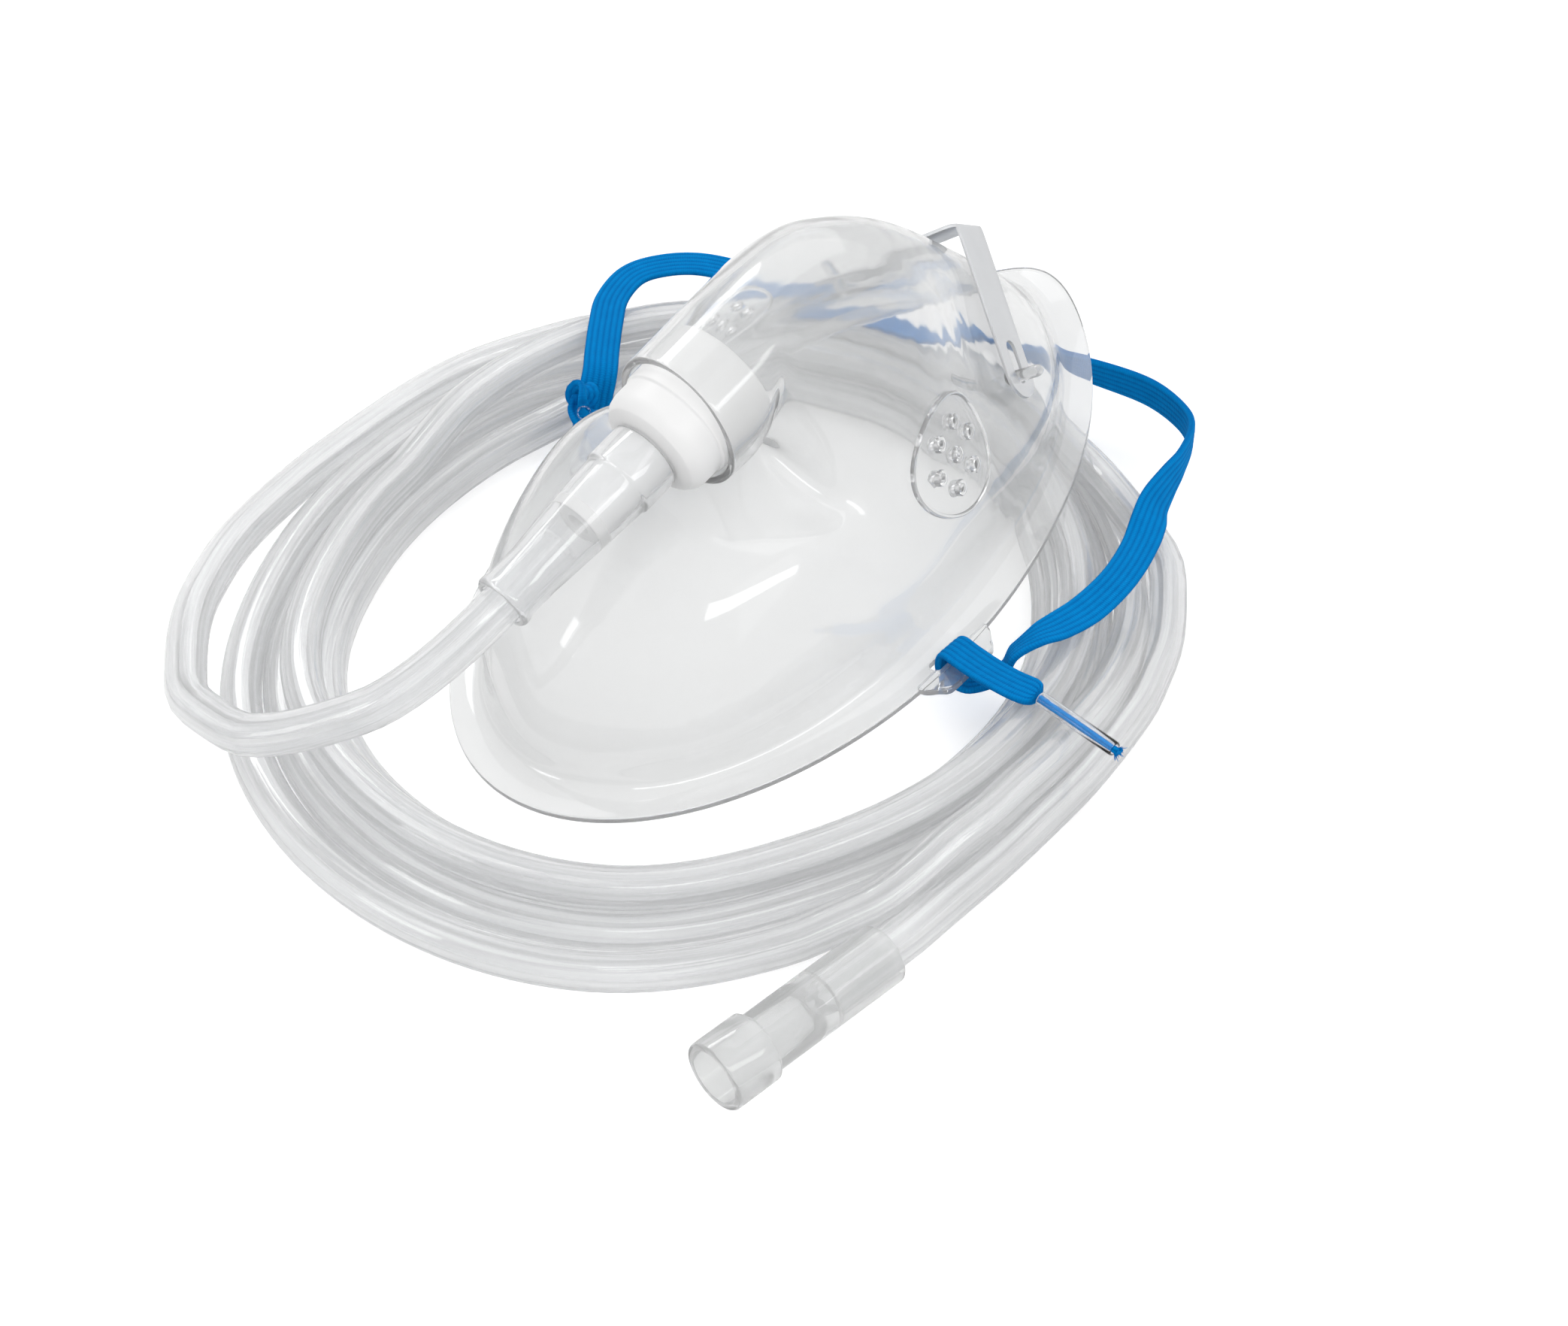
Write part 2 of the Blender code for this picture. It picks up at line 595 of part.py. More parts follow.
def lead_points(pose):
    """The tube's first stretch, from inside the cuff to the coil's outer side. The pose sets the collar's axis."""
    frame = pose @ collar_frame()
    start = [frame @ Vector((0, 0, TUBE_START)), frame @ Vector((0, 0, TUBE_START + 7 * MM))]
    start.append(frame @ Vector((0, 0, 43.5 * MM)))
    return smooth_route(start + in_metres(LEAD_ROUTE), 4)


def supply_frame():
    mouth = Vector(SUPPLY_MOUTH) * MM
    top = Vector(SUPPLY_TOP) * MM
    return facing(mouth, top - mouth)


def tail_points():
    frame = supply_frame()
    end = [frame @ Vector((0, 0, SUPPLY_LENGTH + 2 * MM)), frame @ Vector((0, 0, 29 * MM))]
    end.append(frame @ Vector((0, 0, SUPPLY_SEAT)))
    return smooth_route(in_metres(TAIL_ROUTE) + end, 4)


# Head strap


def strap_place(point):
    """A place of the strap's route, moved in or out with the mask's width."""
    x, y, z = in_metres([point])[0]
    return Vector((x * HALF_WIDTH / STRAP_FITS, y, z))


def strap_rows():
    """Loops of four corners along the strap."""
    places = smooth_route([strap_place(place) for place, _ in STRAP_ROUTE], 3)
    sides = smooth_route([Vector(side).normalized() for _, side in STRAP_ROUTE], 3)
    rows = []
    last = len(places) - 1
    for i, place in enumerate(places):
        along = (places[min(i + 1, last)] - places[max(i - 1, 0)]).normalized()
        side = (sides[i] - along * sides[i].dot(along)).normalized()
        outward = along.cross(side)
        near_end = min(i, last - i)
        half = min(STRAP_HALF_WIDTH, TIP_R + near_end / 6 * (STRAP_HALF_WIDTH - TIP_R))
        across = side * half
        rise = outward * STRAP_THICKNESS / 2
        rows.append([place + across + rise, place - across + rise, place - across - rise, place + across - rise])
    return rows


def tip(name, ends, collection, finish, parent):
    start, end = [strap_place(place) for place in ends]
    along = (end - start).normalized()
    body = prism(circle(TIP_R, 16), 0, TIP_LENGTH, facing(start, along))
    return add_object(name, body, collection, finish, parent)


def empty(name, collection, parent=None):
    obj = bpy.data.objects.new(name, None)
    collection.objects.link(obj)
    obj.parent = parent
    return obj


def main():
    clear_scene()
    parts = new_collection(MASK_NAME)
    cutters = new_collection("cutters")
    cutters.hide_render = True

    clear_pvc = material("clear_pvc", (0.86, 0.88, 0.89), 0.12, alpha=0.35)
    tube_pvc = material("tube_pvc", (0.84, 0.86, 0.88), 0.15, alpha=0.45)
    white_plastic = material("white_plastic", (0.9, 0.9, 0.9), 0.35)
    metal = material("clip_metal", (0.82, 0.82, 0.83), 0.35, metallic=1.0)
    elastic = material("blue_elastic", (0.0, 0.2, 0.6), 0.85)
    clear_tip = material("clear_tip", (0.55, 0.75, 0.9), 0.15, alpha=0.6)

    whole = empty(MASK_NAME, parts)
    whole.location = (0, SHIFT_Y, 0)
    lying = empty("mask_pose", parts, whole)
    lowest = WIDEST_Y - CHIN_LENGTH
    pose = Matrix.Translation((0, 0, -lowest * math.sin(PITCH))) @ Matrix.Rotation(PITCH, 4, "X")
    lying.matrix_local = pose

    mask_shell(parts, cutters, clear_pvc, lying)
    nose_clip(parts, cutters, metal, lying)
    turned("inlet_connector", INLET_PROFILE, 32, collar_frame(), parts, white_plastic, lying)
    turned("tube_cuff", CUFF_PROFILE, 28, collar_frame(), parts, clear_pvc, lying)
    turned("supply_connector", SUPPLY_PROFILE, 28, supply_frame(), parts, clear_pvc, whole)
    tube("tube_lead", lead_points(pose), TUBE_R, parts, tube_pvc, whole)
    coil = lofted("tube_coil", coil_rows(), joined=True)
    add_object("tube_coil", coil, parts, tube_pvc, whole)
    tube("tube_tail", tail_points(), TUBE_R, parts, tube_pvc, whole)
    strap = lofted("head_strap", strap_rows(), close_ends=True)
    add_object("head_strap", strap, parts, elastic, whole)
    tip("strap_tip_near", NEAR_TIP, parts, clear_tip, whole)
    tip("strap_tip_far", FAR_TIP, parts, clear_tip, whole)


main()
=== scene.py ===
"""Oxygen face mask lying on its coiled supply tube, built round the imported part.

Metres, +Z up. The mask lies with its face opening down: chin towards -Y on the floor, nose towards +Y on the
coil of its own supply tube. Routes and outlines are listed in millimetres, before SHIFT_Y is added to them.
"""

import logging
import math
import random
from collections.abc import Callable
from dataclasses import dataclass, field
from enum import Enum

import bmesh
import bpy
import numpy as np
from mathutils import Matrix, Vector
from mathutils.bvhtree import BVHTree


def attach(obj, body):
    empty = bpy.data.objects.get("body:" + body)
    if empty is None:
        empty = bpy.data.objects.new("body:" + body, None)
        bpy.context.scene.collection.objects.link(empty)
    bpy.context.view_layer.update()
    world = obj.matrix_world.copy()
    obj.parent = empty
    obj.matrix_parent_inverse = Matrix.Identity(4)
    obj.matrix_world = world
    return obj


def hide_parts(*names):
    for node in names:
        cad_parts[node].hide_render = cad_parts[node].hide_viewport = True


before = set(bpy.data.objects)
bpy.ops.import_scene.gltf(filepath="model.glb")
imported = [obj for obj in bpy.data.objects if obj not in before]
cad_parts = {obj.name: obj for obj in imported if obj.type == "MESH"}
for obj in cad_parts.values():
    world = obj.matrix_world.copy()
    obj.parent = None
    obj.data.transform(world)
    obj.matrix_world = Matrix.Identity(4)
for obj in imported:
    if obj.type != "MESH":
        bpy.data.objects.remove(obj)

LOG = logging.getLogger("oxygen_mask")
MM = 0.001
SHIFT_Y = 4.4 * MM
PITCH = math.radians(6.8)
BODY = "root"
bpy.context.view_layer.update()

Point = tuple[float, float, float]
Row = list[Vector]


class Light(Enum):
    """What a lamp is for."""

    KEY = "key"
    FILL = "fill"
    GLEAM = "gleam"


# Small tools for shapes


def in_metres(points: tuple[Point, ...] | list[Point]) -> Row:
    """Points listed in millimetres, as vectors in metres.

    Args:
        points: Places in millimetres.

    Returns:
        The same places in metres.
    """
    return [Vector(point) * MM for point in points]


def shifted(points: tuple[Point, ...] | list[Point]) -> Row:
    """Route points listed in millimetres, moved to the part's own origin."""
    return [place + Vector((0, SHIFT_Y, 0)) for place in in_metres(points)]


def smooth_route(points: Row, per_span: int) -> Row:
    """Points of a smooth curve through all the given points.

    Args:
        points: The places that the curve goes through.
        per_span: How many points each span gets.

    Returns:
        The curve's points, both ends among them.
    """
    ahead = [2 * points[0] - points[1], *points, 2 * points[-1] - points[-2]]
    made = []
    for i in range(1, len(ahead) - 2):
        a, b, c, d = ahead[i - 1 : i + 3]
        for step in range(per_span):
            t = step / per_span
            bend = (2 * a - 5 * b + 4 * c - d) * t**2 + (3 * b - a - 3 * c + d) * t**3
            made.append(0.5 * (2 * b + (c - a) * t + bend))
    made.append(points[-1].copy())
    return made


def even_route(points: Row, step: float) -> Row:
    """The same route with its points at an even distance.

    Args:
        points: The route.
        step: Wanted distance between points, in metres.

    Returns:
        Points at even distances, the two ends kept.
    """
    spots = np.array([point[:] for point in points])
    far = np.concatenate([[0], np.cumsum(np.linalg.norm(np.diff(spots, axis=0), axis=1))])
    count = max(2, round(far[-1] / step) + 1)
    wanted = np.linspace(0, far[-1], count)
    columns = [np.interp(wanted, far, spots[:, axis]) for axis in range(3)]
    return [Vector(place) for place in zip(*columns)]


def route_length(points: Row) -> float:
    """Length of a route in metres."""
    return sum((b - a).length for a, b in zip(points, points[1:]))


def facing(place: Vector, direction: Vector, upright: Vector = Vector((0, 0, 1))) -> Matrix:
    """A frame at a place with its Z along a direction.

    Args:
        place: The frame's origin.
        direction: Where its Z points.
        upright: A direction that its Y leans towards.

    Returns:
        The frame as a matrix.
    """
    z = direction.normalized()
    x = upright.cross(z).normalized()
    y = z.cross(x)
    return Matrix.Translation(place) @ Matrix((x, y, z)).transposed().to_4x4()


def mirrored(matrix: Matrix) -> Matrix:
    """The frame on the other side of the mask's middle plane, still right-handed."""
    flip = Matrix.Diagonal((-1, 1, 1, 1))
    return flip @ matrix @ flip


def lofted(name: str, rows: list[Row], close_ends: bool = False, joined: bool = False) -> bpy.types.Mesh:
    """A mesh of quads through closed loops, made by extruding the first loop.

    Args:
        name: The mesh's name.
        rows: Loops with the same number of points.
        close_ends: Puts a face on the first and the last loop.
        joined: Welds the last loop to the first.

    Returns:
        The mesh, its faces pointing outwards.
    """
    mesh = bpy.data.meshes.new(name)
    bm = bmesh.new()
    around = len(rows[0])
    ring = bmesh.ops.create_circle(bm, segments=around, radius=1.0)["verts"]
    for vert, place in zip(ring, rows[0]):
        vert.co = place
    edges = [bm.edges.get((ring[i], ring[(i + 1) % around])) for i in range(around)]
    order = list(ring)
    ends = list(edges)
    for row in rows[1:]:
        made = bmesh.ops.extrude_edge_only(bm, edges=edges)["geom"]
        fresh = {vert for vert in made if isinstance(vert, bmesh.types.BMVert)}
        following = []
        for vert in order:
            following.append(next(e.other_vert(vert) for e in vert.link_edges if e.other_vert(vert) in fresh))
        for vert, place in zip(following, row):
            vert.co = place
        order = following
        edges = [bm.edges.get((order[i], order[(i + 1) % around])) for i in range(around)]
    if close_ends:
        bmesh.ops.holes_fill(bm, edges=ends + edges, sides=0)
    if joined:
        bmesh.ops.weld_verts(bm, targetmap=dict(zip(order, ring)))
    bmesh.ops.recalc_face_normals(bm, faces=bm.faces)
    bm.to_mesh(mesh)
    bm.free()
    return mesh


def prism(outline: list[tuple[float, float]], low: float, high: float, place: Matrix) -> bpy.types.Mesh:
    """An outline in the XY plane given height, then set by a frame.

    Args:
        outline: Corners in metres.
        low: Height of the lower face.
        high: Height of the upper face.
        place: The frame that it is set in.

    Returns:
        The closed mesh.
    """
    rows = [[place @ Vector((x, y, z)) for x, y in outline] for z in (low, high)]
    return lofted("prism", rows, close_ends=True)


def circle(radius: float, segments: int) -> list[tuple[float, float]]:
    """Corners of a round outline."""
    turns = [2 * math.pi * i / segments for i in range(segments)]
    return [(radius * math.cos(turn), radius * math.sin(turn)) for turn in turns]


def turned_rows(profile: tuple[tuple[float, float], ...], place: Matrix, segments: int) -> list[Row]:
    """Loops of a body turned about its frame's Z.

    Args:
        profile: Radius and height of each loop, in millimetres.
        place: The frame.
        segments: Points in a loop.

    Returns:
        The loops, in the profile's order.
    """
    rows = []
    for radius, height in profile:
        rows.append([place @ Vector((x, y, height * MM)) for x, y in circle(radius * MM, segments)])
    return rows


def joined_mesh(name: str, meshes: list[bpy.types.Mesh]) -> bpy.types.Mesh:
    """Several meshes as one, each staying a body of its own.

    Args:
        name: The new mesh's name.
        meshes: What is joined, and taken away.

    Returns:
        The joined mesh.
    """
    bm = bmesh.new()
    for mesh in meshes:
        bm.from_mesh(mesh)
        bpy.data.meshes.remove(mesh)
    made = bpy.data.meshes.new(name)
    bm.to_mesh(made)
    bm.free()
    return made


def shown(name: str, mesh: bpy.types.Mesh, smooth_angle: float = 35.0) -> bpy.types.Object:
    """A piece in the scene, smooth where its faces meet at less than an angle.

    Args:
        name: The piece's name.
        mesh: Its mesh, already in place.
        smooth_angle: Edges sharper than this many degrees stay sharp.

    Returns:
        The new object.
    """
    mesh.shade_smooth()
    mesh.set_sharp_from_angle(angle=math.radians(smooth_angle))
    piece = bpy.data.objects.new(name, mesh)
    bpy.context.scene.collection.objects.link(piece)
    return piece


def applied(piece: bpy.types.Object, smooth_angle: float = 35.0) -> bpy.types.Object:
    """The piece with its modifiers and its place worked into its mesh.

    Args:
        piece: The piece, taken away.
        smooth_angle: Edges sharper than this many degrees stay sharp.

    Returns:
        The new object, at the origin.
    """
    bpy.context.view_layer.update()
    graph = bpy.context.evaluated_depsgraph_get()
    baked = bpy.data.meshes.new_from_object(piece.evaluated_get(graph))
    baked.transform(piece.matrix_world)
    baked.name = piece.name
    name = piece.name
    bpy.data.objects.remove(piece, do_unlink=True)
    return shown(name, baked, smooth_angle)


def bevelled(piece: bpy.types.Object, width: float, segments: int = 2, angle: float = 40.0) -> None:
    """Rounds the sharp edges of a piece.

    Args:
        piece: The piece.
        width: Of the rounding.
        segments: Steps in it.
        angle: Edges sharper than this many degrees are rounded.
    """
    edge = piece.modifiers.new("edge", "BEVEL")
    edge.width = width
    edge.segments = segments
    edge.limit_method = "ANGLE"
    edge.angle_limit = math.radians(angle)
    edge.use_clamp_overlap = True


def add_boolean(piece: bpy.types.Object, other: bpy.types.Object, operation: str) -> None:
    """Joins or cuts a piece with another one.

    Args:
        piece: What is changed.
        other: The helper.
        operation: UNION, DIFFERENCE or INTERSECT.
    """
    cut = piece.modifiers.new(operation.lower(), "BOOLEAN")
    cut.operation = operation
    cut.solver = "EXACT"
    cut.object = other


def loose(name: str, mesh: bpy.types.Mesh) -> bpy.types.Object:
    """A helper object for a cut, taken away once the cut is made.

    Args:
        name: Its name.
        mesh: Its mesh.

    Returns:
        The helper.
    """
    helper = bpy.data.objects.new(name, mesh)
    bpy.context.scene.collection.objects.link(helper)
    return helper


def mask_pose() -> Matrix:
    """How the mask lies: its nose end is lifted by the coil.

    Returns:
        The frame that the mask is built in.
    """
    lowest = MaskShell.widest_y - MaskShell.chin_length
    lift = Matrix.Translation((0, SHIFT_Y, -lowest * math.sin(PITCH)))
    return lift @ Matrix.Rotation(PITCH, 4, "X")


# Shader maths


class Wire:
    """A shader value that Python's operators work on."""

    def __init__(self, graph: "Graph", socket: bpy.types.NodeSocket) -> None:
        """Keeps the socket and the node tree that it belongs to."""
        self.graph = graph
        self.socket = socket

    def _maths(self, operation: str, *values: "Wire | float") -> "Wire":
        """Adds one Math node."""
        sockets = {i: value for i, value in enumerate(values)}
        return self.graph.node("ShaderNodeMath", {"operation": operation}, sockets)

    def __add__(self, other: "Wire | float") -> "Wire":
        """Sum."""
        return self._maths("ADD", self, other)

    def __radd__(self, other: float) -> "Wire":
        """Sum with a number first."""
        return self._maths("ADD", other, self)

    def __sub__(self, other: "Wire | float") -> "Wire":
        """Difference."""
        return self._maths("SUBTRACT", self, other)

    def __rsub__(self, other: float) -> "Wire":
        """Difference from a number."""
        return self._maths("SUBTRACT", other, self)

    def __mul__(self, other: "Wire | float") -> "Wire":
        """Product."""
        return self._maths("MULTIPLY", self, other)

    def __rmul__(self, other: float) -> "Wire":
        """Product with a number first."""
        return self._maths("MULTIPLY", other, self)

    def clamped(self) -> "Wire":
        """Held between 0 and 1."""
        return self._maths("MAXIMUM", self._maths("MINIMUM", self, 1.0), 0.0)

    def wave(self) -> "Wire":
        """Sine."""
        return self._maths("SINE", self)


class Graph:
    """A node tree and the ways to fill it."""

    def __init__(self, tree: bpy.types.NodeTree) -> None:
        """Keeps the tree."""
        self.tree = tree

    def node(self, kind: str, settings: dict | None = None, sockets: dict | None = None, out: int | str = 0) -> Wire:
        """Adds a node.

        Args:
            kind: The node's type.
            settings: Its own settings, made before its sockets are filled.
            sockets: A value or a Wire for each input, by name or number.
            out: The output that is handed back.

        Returns:
            That output.
        """
        made = self.tree.nodes.new(kind)
        for name, value in (settings or {}).items():
            setattr(made, name, value)
        for name, value in (sockets or {}).items():
            self.fill(made.inputs[name], value)
        return Wire(self, made.outputs[out])

    def fill(self, socket: bpy.types.NodeSocket, value: "Wire | float | tuple") -> None:
        """Links or sets one input.

        Args:
            socket: The input.
            value: What it gets.
        """
        if isinstance(value, Wire):
            self.tree.links.new(value.socket, socket)
        else:
            socket.default_value = value

    def seen_white(self) -> Wire:
        """Tells rays that end in the camera's white surroundings.

        Returns:
            1 for rays seen straight, in a reflection or through clear plastic, otherwise 0.
        """
        kinds = ("Is Camera Ray", "Is Glossy Ray", "Is Transmission Ray")
        camera, glossy, through = (self.node("ShaderNodeLightPath", out=kind) for kind in kinds)
        return (camera + glossy + through).clamped()


class Paint(Graph):
    """A material's node tree, with its Principled shader and output."""

    def __init__(self, name: str) -> None:
        """Starts a material.

        Args:
            name: Its name.
        """
        self.material = bpy.data.materials.new(name)
        self.material.use_nodes = True
        super().__init__(self.material.node_tree)
        self.shader = self.tree.nodes["Principled BSDF"]
        self.output = self.tree.nodes["Material Output"]

    def principled(self, **inputs: "Wire | float | tuple") -> None:
        """Fills the shader's inputs, written with underscores for spaces."""
        for name, value in inputs.items():
            self.fill(self.shader.inputs[name.replace("_", " ")], value)

    def place(self) -> Wire:
        """Object coordinates."""
        return self.node("ShaderNodeTexCoord", out="Object")

    def noise(self, scale: float, detail: float = 2.0, vector: Wire | None = None) -> Wire:
        """Noise over the piece, its scale in cycles per metre."""
        sockets = {"Vector": vector or self.place(), "Scale": scale, "Detail": detail}
        return self.node("ShaderNodeTexNoise", {}, sockets)

    def attribute(self, name: str, out: str = "Fac") -> Wire:
        """A number, or with "Vector" a vector, kept on the piece's mesh."""
        return self.node("ShaderNodeAttribute", {"attribute_name": name}, out=out)

    def blend(self, share: Wire, first: tuple, second: tuple) -> Wire:
        """A colour between two.

        Args:
            share: How much of the second.
            first: Colour at 0.
            second: Colour at 1.

        Returns:
            The colour.
        """
        settings = {"data_type": "RGBA"}
        made = self.node("ShaderNodeMix", settings, {0: share, 6: first, 7: second}, out=2)
        return made

    def bump(self, height: Wire, distance: float, strength: float = 1.0) -> Wire:
        """Relief, its distance in metres."""
        sockets = {"Height": height, "Distance": distance, "Strength": strength}
        return self.node("ShaderNodeBump", {}, sockets)


@dataclass(frozen=True)
class ClearPlastic:
    """Clear soft plastic that shows what is behind it and lets lamps through.

    Args:
        name: The material's name.
        tint: Colour that is left after one wall.
        clear: Share of the light that goes through a surface unscattered.
        shade: Colour of the light that one surface lets through to the floor.
        roughness: Of the surface.
        ripple: Height of the slow ripples in the moulding, in metres.
        ripple_scale: Their number per metre.
        lines: Height of the fine relief lines along a tube, in metres; where set, the tint also gets painted light
            and dark streaks along them.
        ior: Index of refraction.
        haze_scale: Number per metre of the dull spots.
        haze_share: How much rougher they are.
        line_scale: Number per metre of the fine lines.
        line_middle: Strength of the pattern at which a line starts.
        line_gain: How fast it turns from dark to light.
        line_shades: Share of the tint in the painted dark and light streaks.
    """

    name: str
    tint: tuple[float, float, float]
    clear: float
    shade: float
    roughness: float
    ripple: float
    ripple_scale: float
    lines: float = 0.0
    ior: float = 1.5
    haze_scale: float = 900.0
    haze_share: float = 0.05
    line_scale: float = 1000.0
    line_middle: float = 0.36
    line_gain: float = 3.4
    line_shades: tuple[float, float] = (0.87, 1.09)

    def made(self) -> bpy.types.Material:
        """Makes the finish.

        Returns:
            The material.
        """
        paint = Paint(self.name)
        ripples = paint.noise(self.ripple_scale, 1.0) * paint.attribute("ripple")
        haze = paint.noise(self.haze_scale, 3.0)
        tint = (*self.tint, 1.0)
        height = ripples * (self.ripple / MM)
        if self.lines:
            streaks = paint.noise(self.line_scale, 3.0, paint.attribute("streak", "Vector"))
            # Painted light and shade: the tint is lightened and darkened in streaks along the tube, besides the
            # relief.
            dark, light = (tuple(min(1.0, c * share) for c in self.tint) for share in self.line_shades)
            share = ((streaks - self.line_middle) * self.line_gain).clamped()
            tint = paint.blend(share, (*dark, 1.0), (*light, 1.0))
            height = height + streaks * (self.lines / MM)
        paint.principled(
            Base_Color=tint,
            Roughness=(self.roughness + self.haze_share * (haze - 0.5)).clamped(),
            IOR=self.ior,
            Transmission_Weight=self.clear,
            Normal=paint.bump(height, MM),
        )
        window = paint.node("ShaderNodeBsdfTransparent", {}, {"Color": (self.shade, self.shade, self.shade, 1.0)})
        shadow = paint.node("ShaderNodeLightPath", out="Is Shadow Ray")
        surface = Wire(paint, paint.shader.outputs[0])
        mix = paint.node("ShaderNodeMixShader", {}, {0: shadow, 1: surface, 2: window})
        paint.fill(paint.output.inputs["Surface"], mix)
        return paint.material


@dataclass(frozen=True)
class WhitePlastic:
    """Dense white moulded plastic with a soft sheen.

    Args:
        name: The material's name.
        colour: Its colour.
        cloud_scale: Number per metre of the faint clouds.
        cloud_shade: Share of the colour in their dark parts.
        grain_scale: Number per metre of the grains.
        grain_height: Of the grains, in metres.
        roughness: Where the grain is lowest.
        roughness_spread: How much it grows with the grain.
    """

    name: str
    colour: tuple[float, float, float]
    cloud_scale: float = 120.0
    cloud_shade: float = 0.955
    grain_scale: float = 2600.0
    grain_height: float = 0.02 * MM
    roughness: float = 0.34
    roughness_spread: float = 0.1

    def made(self) -> bpy.types.Material:
        """Makes the finish.

        Returns:
            The material.
        """
        paint = Paint(self.name)
        cloud = paint.noise(self.cloud_scale, 2.0)
        grain = paint.noise(self.grain_scale, 2.0)
        darker = tuple(self.cloud_shade * c for c in self.colour)
        paint.principled(
            Base_Color=paint.blend(cloud, (*darker, 1.0), (*self.colour, 1.0)),
            Roughness=(self.roughness + self.roughness_spread * grain).clamped(),
            Normal=paint.bump(grain, self.grain_height, 0.5),
        )
        return paint.material


@dataclass(frozen=True)
class SatinMetal:
    """Rolled soft aluminium with fine lengthwise marks.

    Args:
        name: The material's name.
        colour: Its colour.
        mark_scale: Number per metre of the rolling marks.
        mark_stretch: The pattern's scale across and along them.
        mark_height: Of the marks, in metres.
        wear_scale: Number per metre of the worn spots.
        wear_shade: Share of the colour where it is least worn.
        roughness: Where marks and wear are lowest.
        mark_roughness: How much the marks add to it.
        wear_roughness: How much the wear adds to it.
    """

    name: str
    colour: tuple[float, float, float]
    mark_scale: float = 4200.0
    mark_stretch: Point = (1.0, 0.12, 0.12)
    mark_height: float = 0.015 * MM
    wear_scale: float = 260.0
    wear_shade: float = 0.93
    roughness: float = 0.26
    mark_roughness: float = 0.12
    wear_roughness: float = 0.06

    def made(self) -> bpy.types.Material:
        """Makes the finish.

        Returns:
            The material.
        """
        paint = Paint(self.name)
        scaling = {"Vector": paint.place(), "Scale": self.mark_stretch}
        marks = paint.noise(self.mark_scale, 2.0, paint.node("ShaderNodeMapping", {}, scaling))
        wear = paint.noise(self.wear_scale, 3.0)
        darker = tuple(self.wear_shade * c for c in self.colour)
        paint.principled(
            Base_Color=paint.blend(wear, (*darker, 1.0), (*self.colour, 1.0)),
            Metallic=1.0,
            Roughness=(self.roughness + self.mark_roughness * marks + self.wear_roughness * wear).clamped(),
            Normal=paint.bump(marks, self.mark_height, 0.6),
        )
        return paint.material


@dataclass(frozen=True)
class Elastic:
    """Knitted elastic: soft ribs along it and fine stitches across them, its colour painted lighter on the ribs'
    crests and the stitches and darker between them, as light and shade.

    Args:
        name: The material's name.
        crest: Colour on the ribs, lighter as painted light.
        valley: Colour between them, darker as painted shade.
        stitch_pitch: Distance between stitches, in metres.
        stitch_lean: How far a stitch runs ahead on a rib's crest, in radians.
        fuzz_scale: Number per metre of the loose fibres.
        patch_scale: Number per metre of the uneven patches.
        base_light: Lightness that is left in the valleys' painted shade.
        rib_light: Painted light that the ribs' crests add to the lightness.
        stitch_light: Painted light that the stitches' raised tops add.
        fuzz_light: What the fibres add.
        patch_light: What the patches add.
        relief: Height of stitches and fibres, in metres.
    """

    name: str
    crest: tuple[float, float, float]
    valley: tuple[float, float, float]
    stitch_pitch: float = 0.42 * MM
    stitch_lean: float = 2.4
    fuzz_scale: float = 5200.0
    patch_scale: float = 420.0
    base_light: float = 0.12
    rib_light: float = 0.62
    stitch_light: float = 0.2
    fuzz_light: float = 0.35
    patch_light: float = 0.4
    relief: float = 0.07 * MM

    def made(self) -> bpy.types.Material:
        """Makes the finish.

        Returns:
            The material.
        """
        paint = Paint(self.name)
        rib = paint.attribute("rib")
        along = paint.attribute("along")
        stitch = 0.5 + 0.5 * (along * (2 * math.pi / self.stitch_pitch) + rib * self.stitch_lean).wave()
        fuzz = paint.noise(self.fuzz_scale, 3.0)
        patch = paint.noise(self.patch_scale, 2.0)
        # Painted light and shade: lighter on the ribs' crests and the raised stitches, darker in the valleys between
        # ribs.
        light = self.base_light + self.rib_light * rib + self.stitch_light * stitch
        light = (light + self.fuzz_light * (fuzz - 0.5) + self.patch_light * (patch - 0.5)).clamped()
        paint.principled(
            Base_Color=paint.blend(light, (*self.valley, 1.0), (*self.crest, 1.0)),
            Roughness=(0.78 + 0.15 * fuzz).clamped(),
            Specular_IOR_Level=0.05,
            Normal=paint.bump(0.7 * stitch + 0.3 * fuzz, self.relief, 0.8),
        )
        return paint.material


CLEAR_SHELL = ClearPlastic("clear_shell", (0.85, 0.854, 0.855), 0.875, 0.95, 0.05, 0.12 * MM, 180.0)
CLEAR_CUFF = ClearPlastic("clear_cuff", (0.86, 0.865, 0.87), 0.8, 0.97, 0.05, 0.0, 160.0)
# The tube's finish also paints light and dark streaks along it into its tint.
CLEAR_TUBE = ClearPlastic("clear_tube", (0.88, 0.885, 0.89), 0.74, 0.95, 0.08, 0.0, 140.0, 0.1 * MM)
CLEAR_SUPPLY = ClearPlastic("clear_supply", (0.8, 0.805, 0.805), 0.76, 0.95, 0.06, 0.0, 140.0)
CLEAR_SLEEVE = ClearPlastic("clear_sleeve", (0.97, 0.98, 1.0), 1.0, 0.97, 0.04, 0.0, 400.0, ior=1.38)
WHITE = WhitePlastic("white_plastic", (0.83, 0.83, 0.83))
METAL = SatinMetal("satin_metal", (0.68, 0.69, 0.705))
# The strap's two blues: the lighter is painted light on the rib crests, the darker painted shade between them.
BLUE = Elastic("blue_elastic", (0.0, 0.225, 0.59), (0.0, 0.115, 0.37))


# Camera, lamps and surroundings


@dataclass(frozen=True)
class Lamp:
    """A soft rectangular lamp that points at the mask.

    Args:
        use: What it is for.
        place: Its place in metres.
        along: Direction of its first side.
        size: Its two sides in metres.
        power: In watts.
    """

    use: Light
    place: Point
    along: Point
    size: tuple[float, float]
    power: float


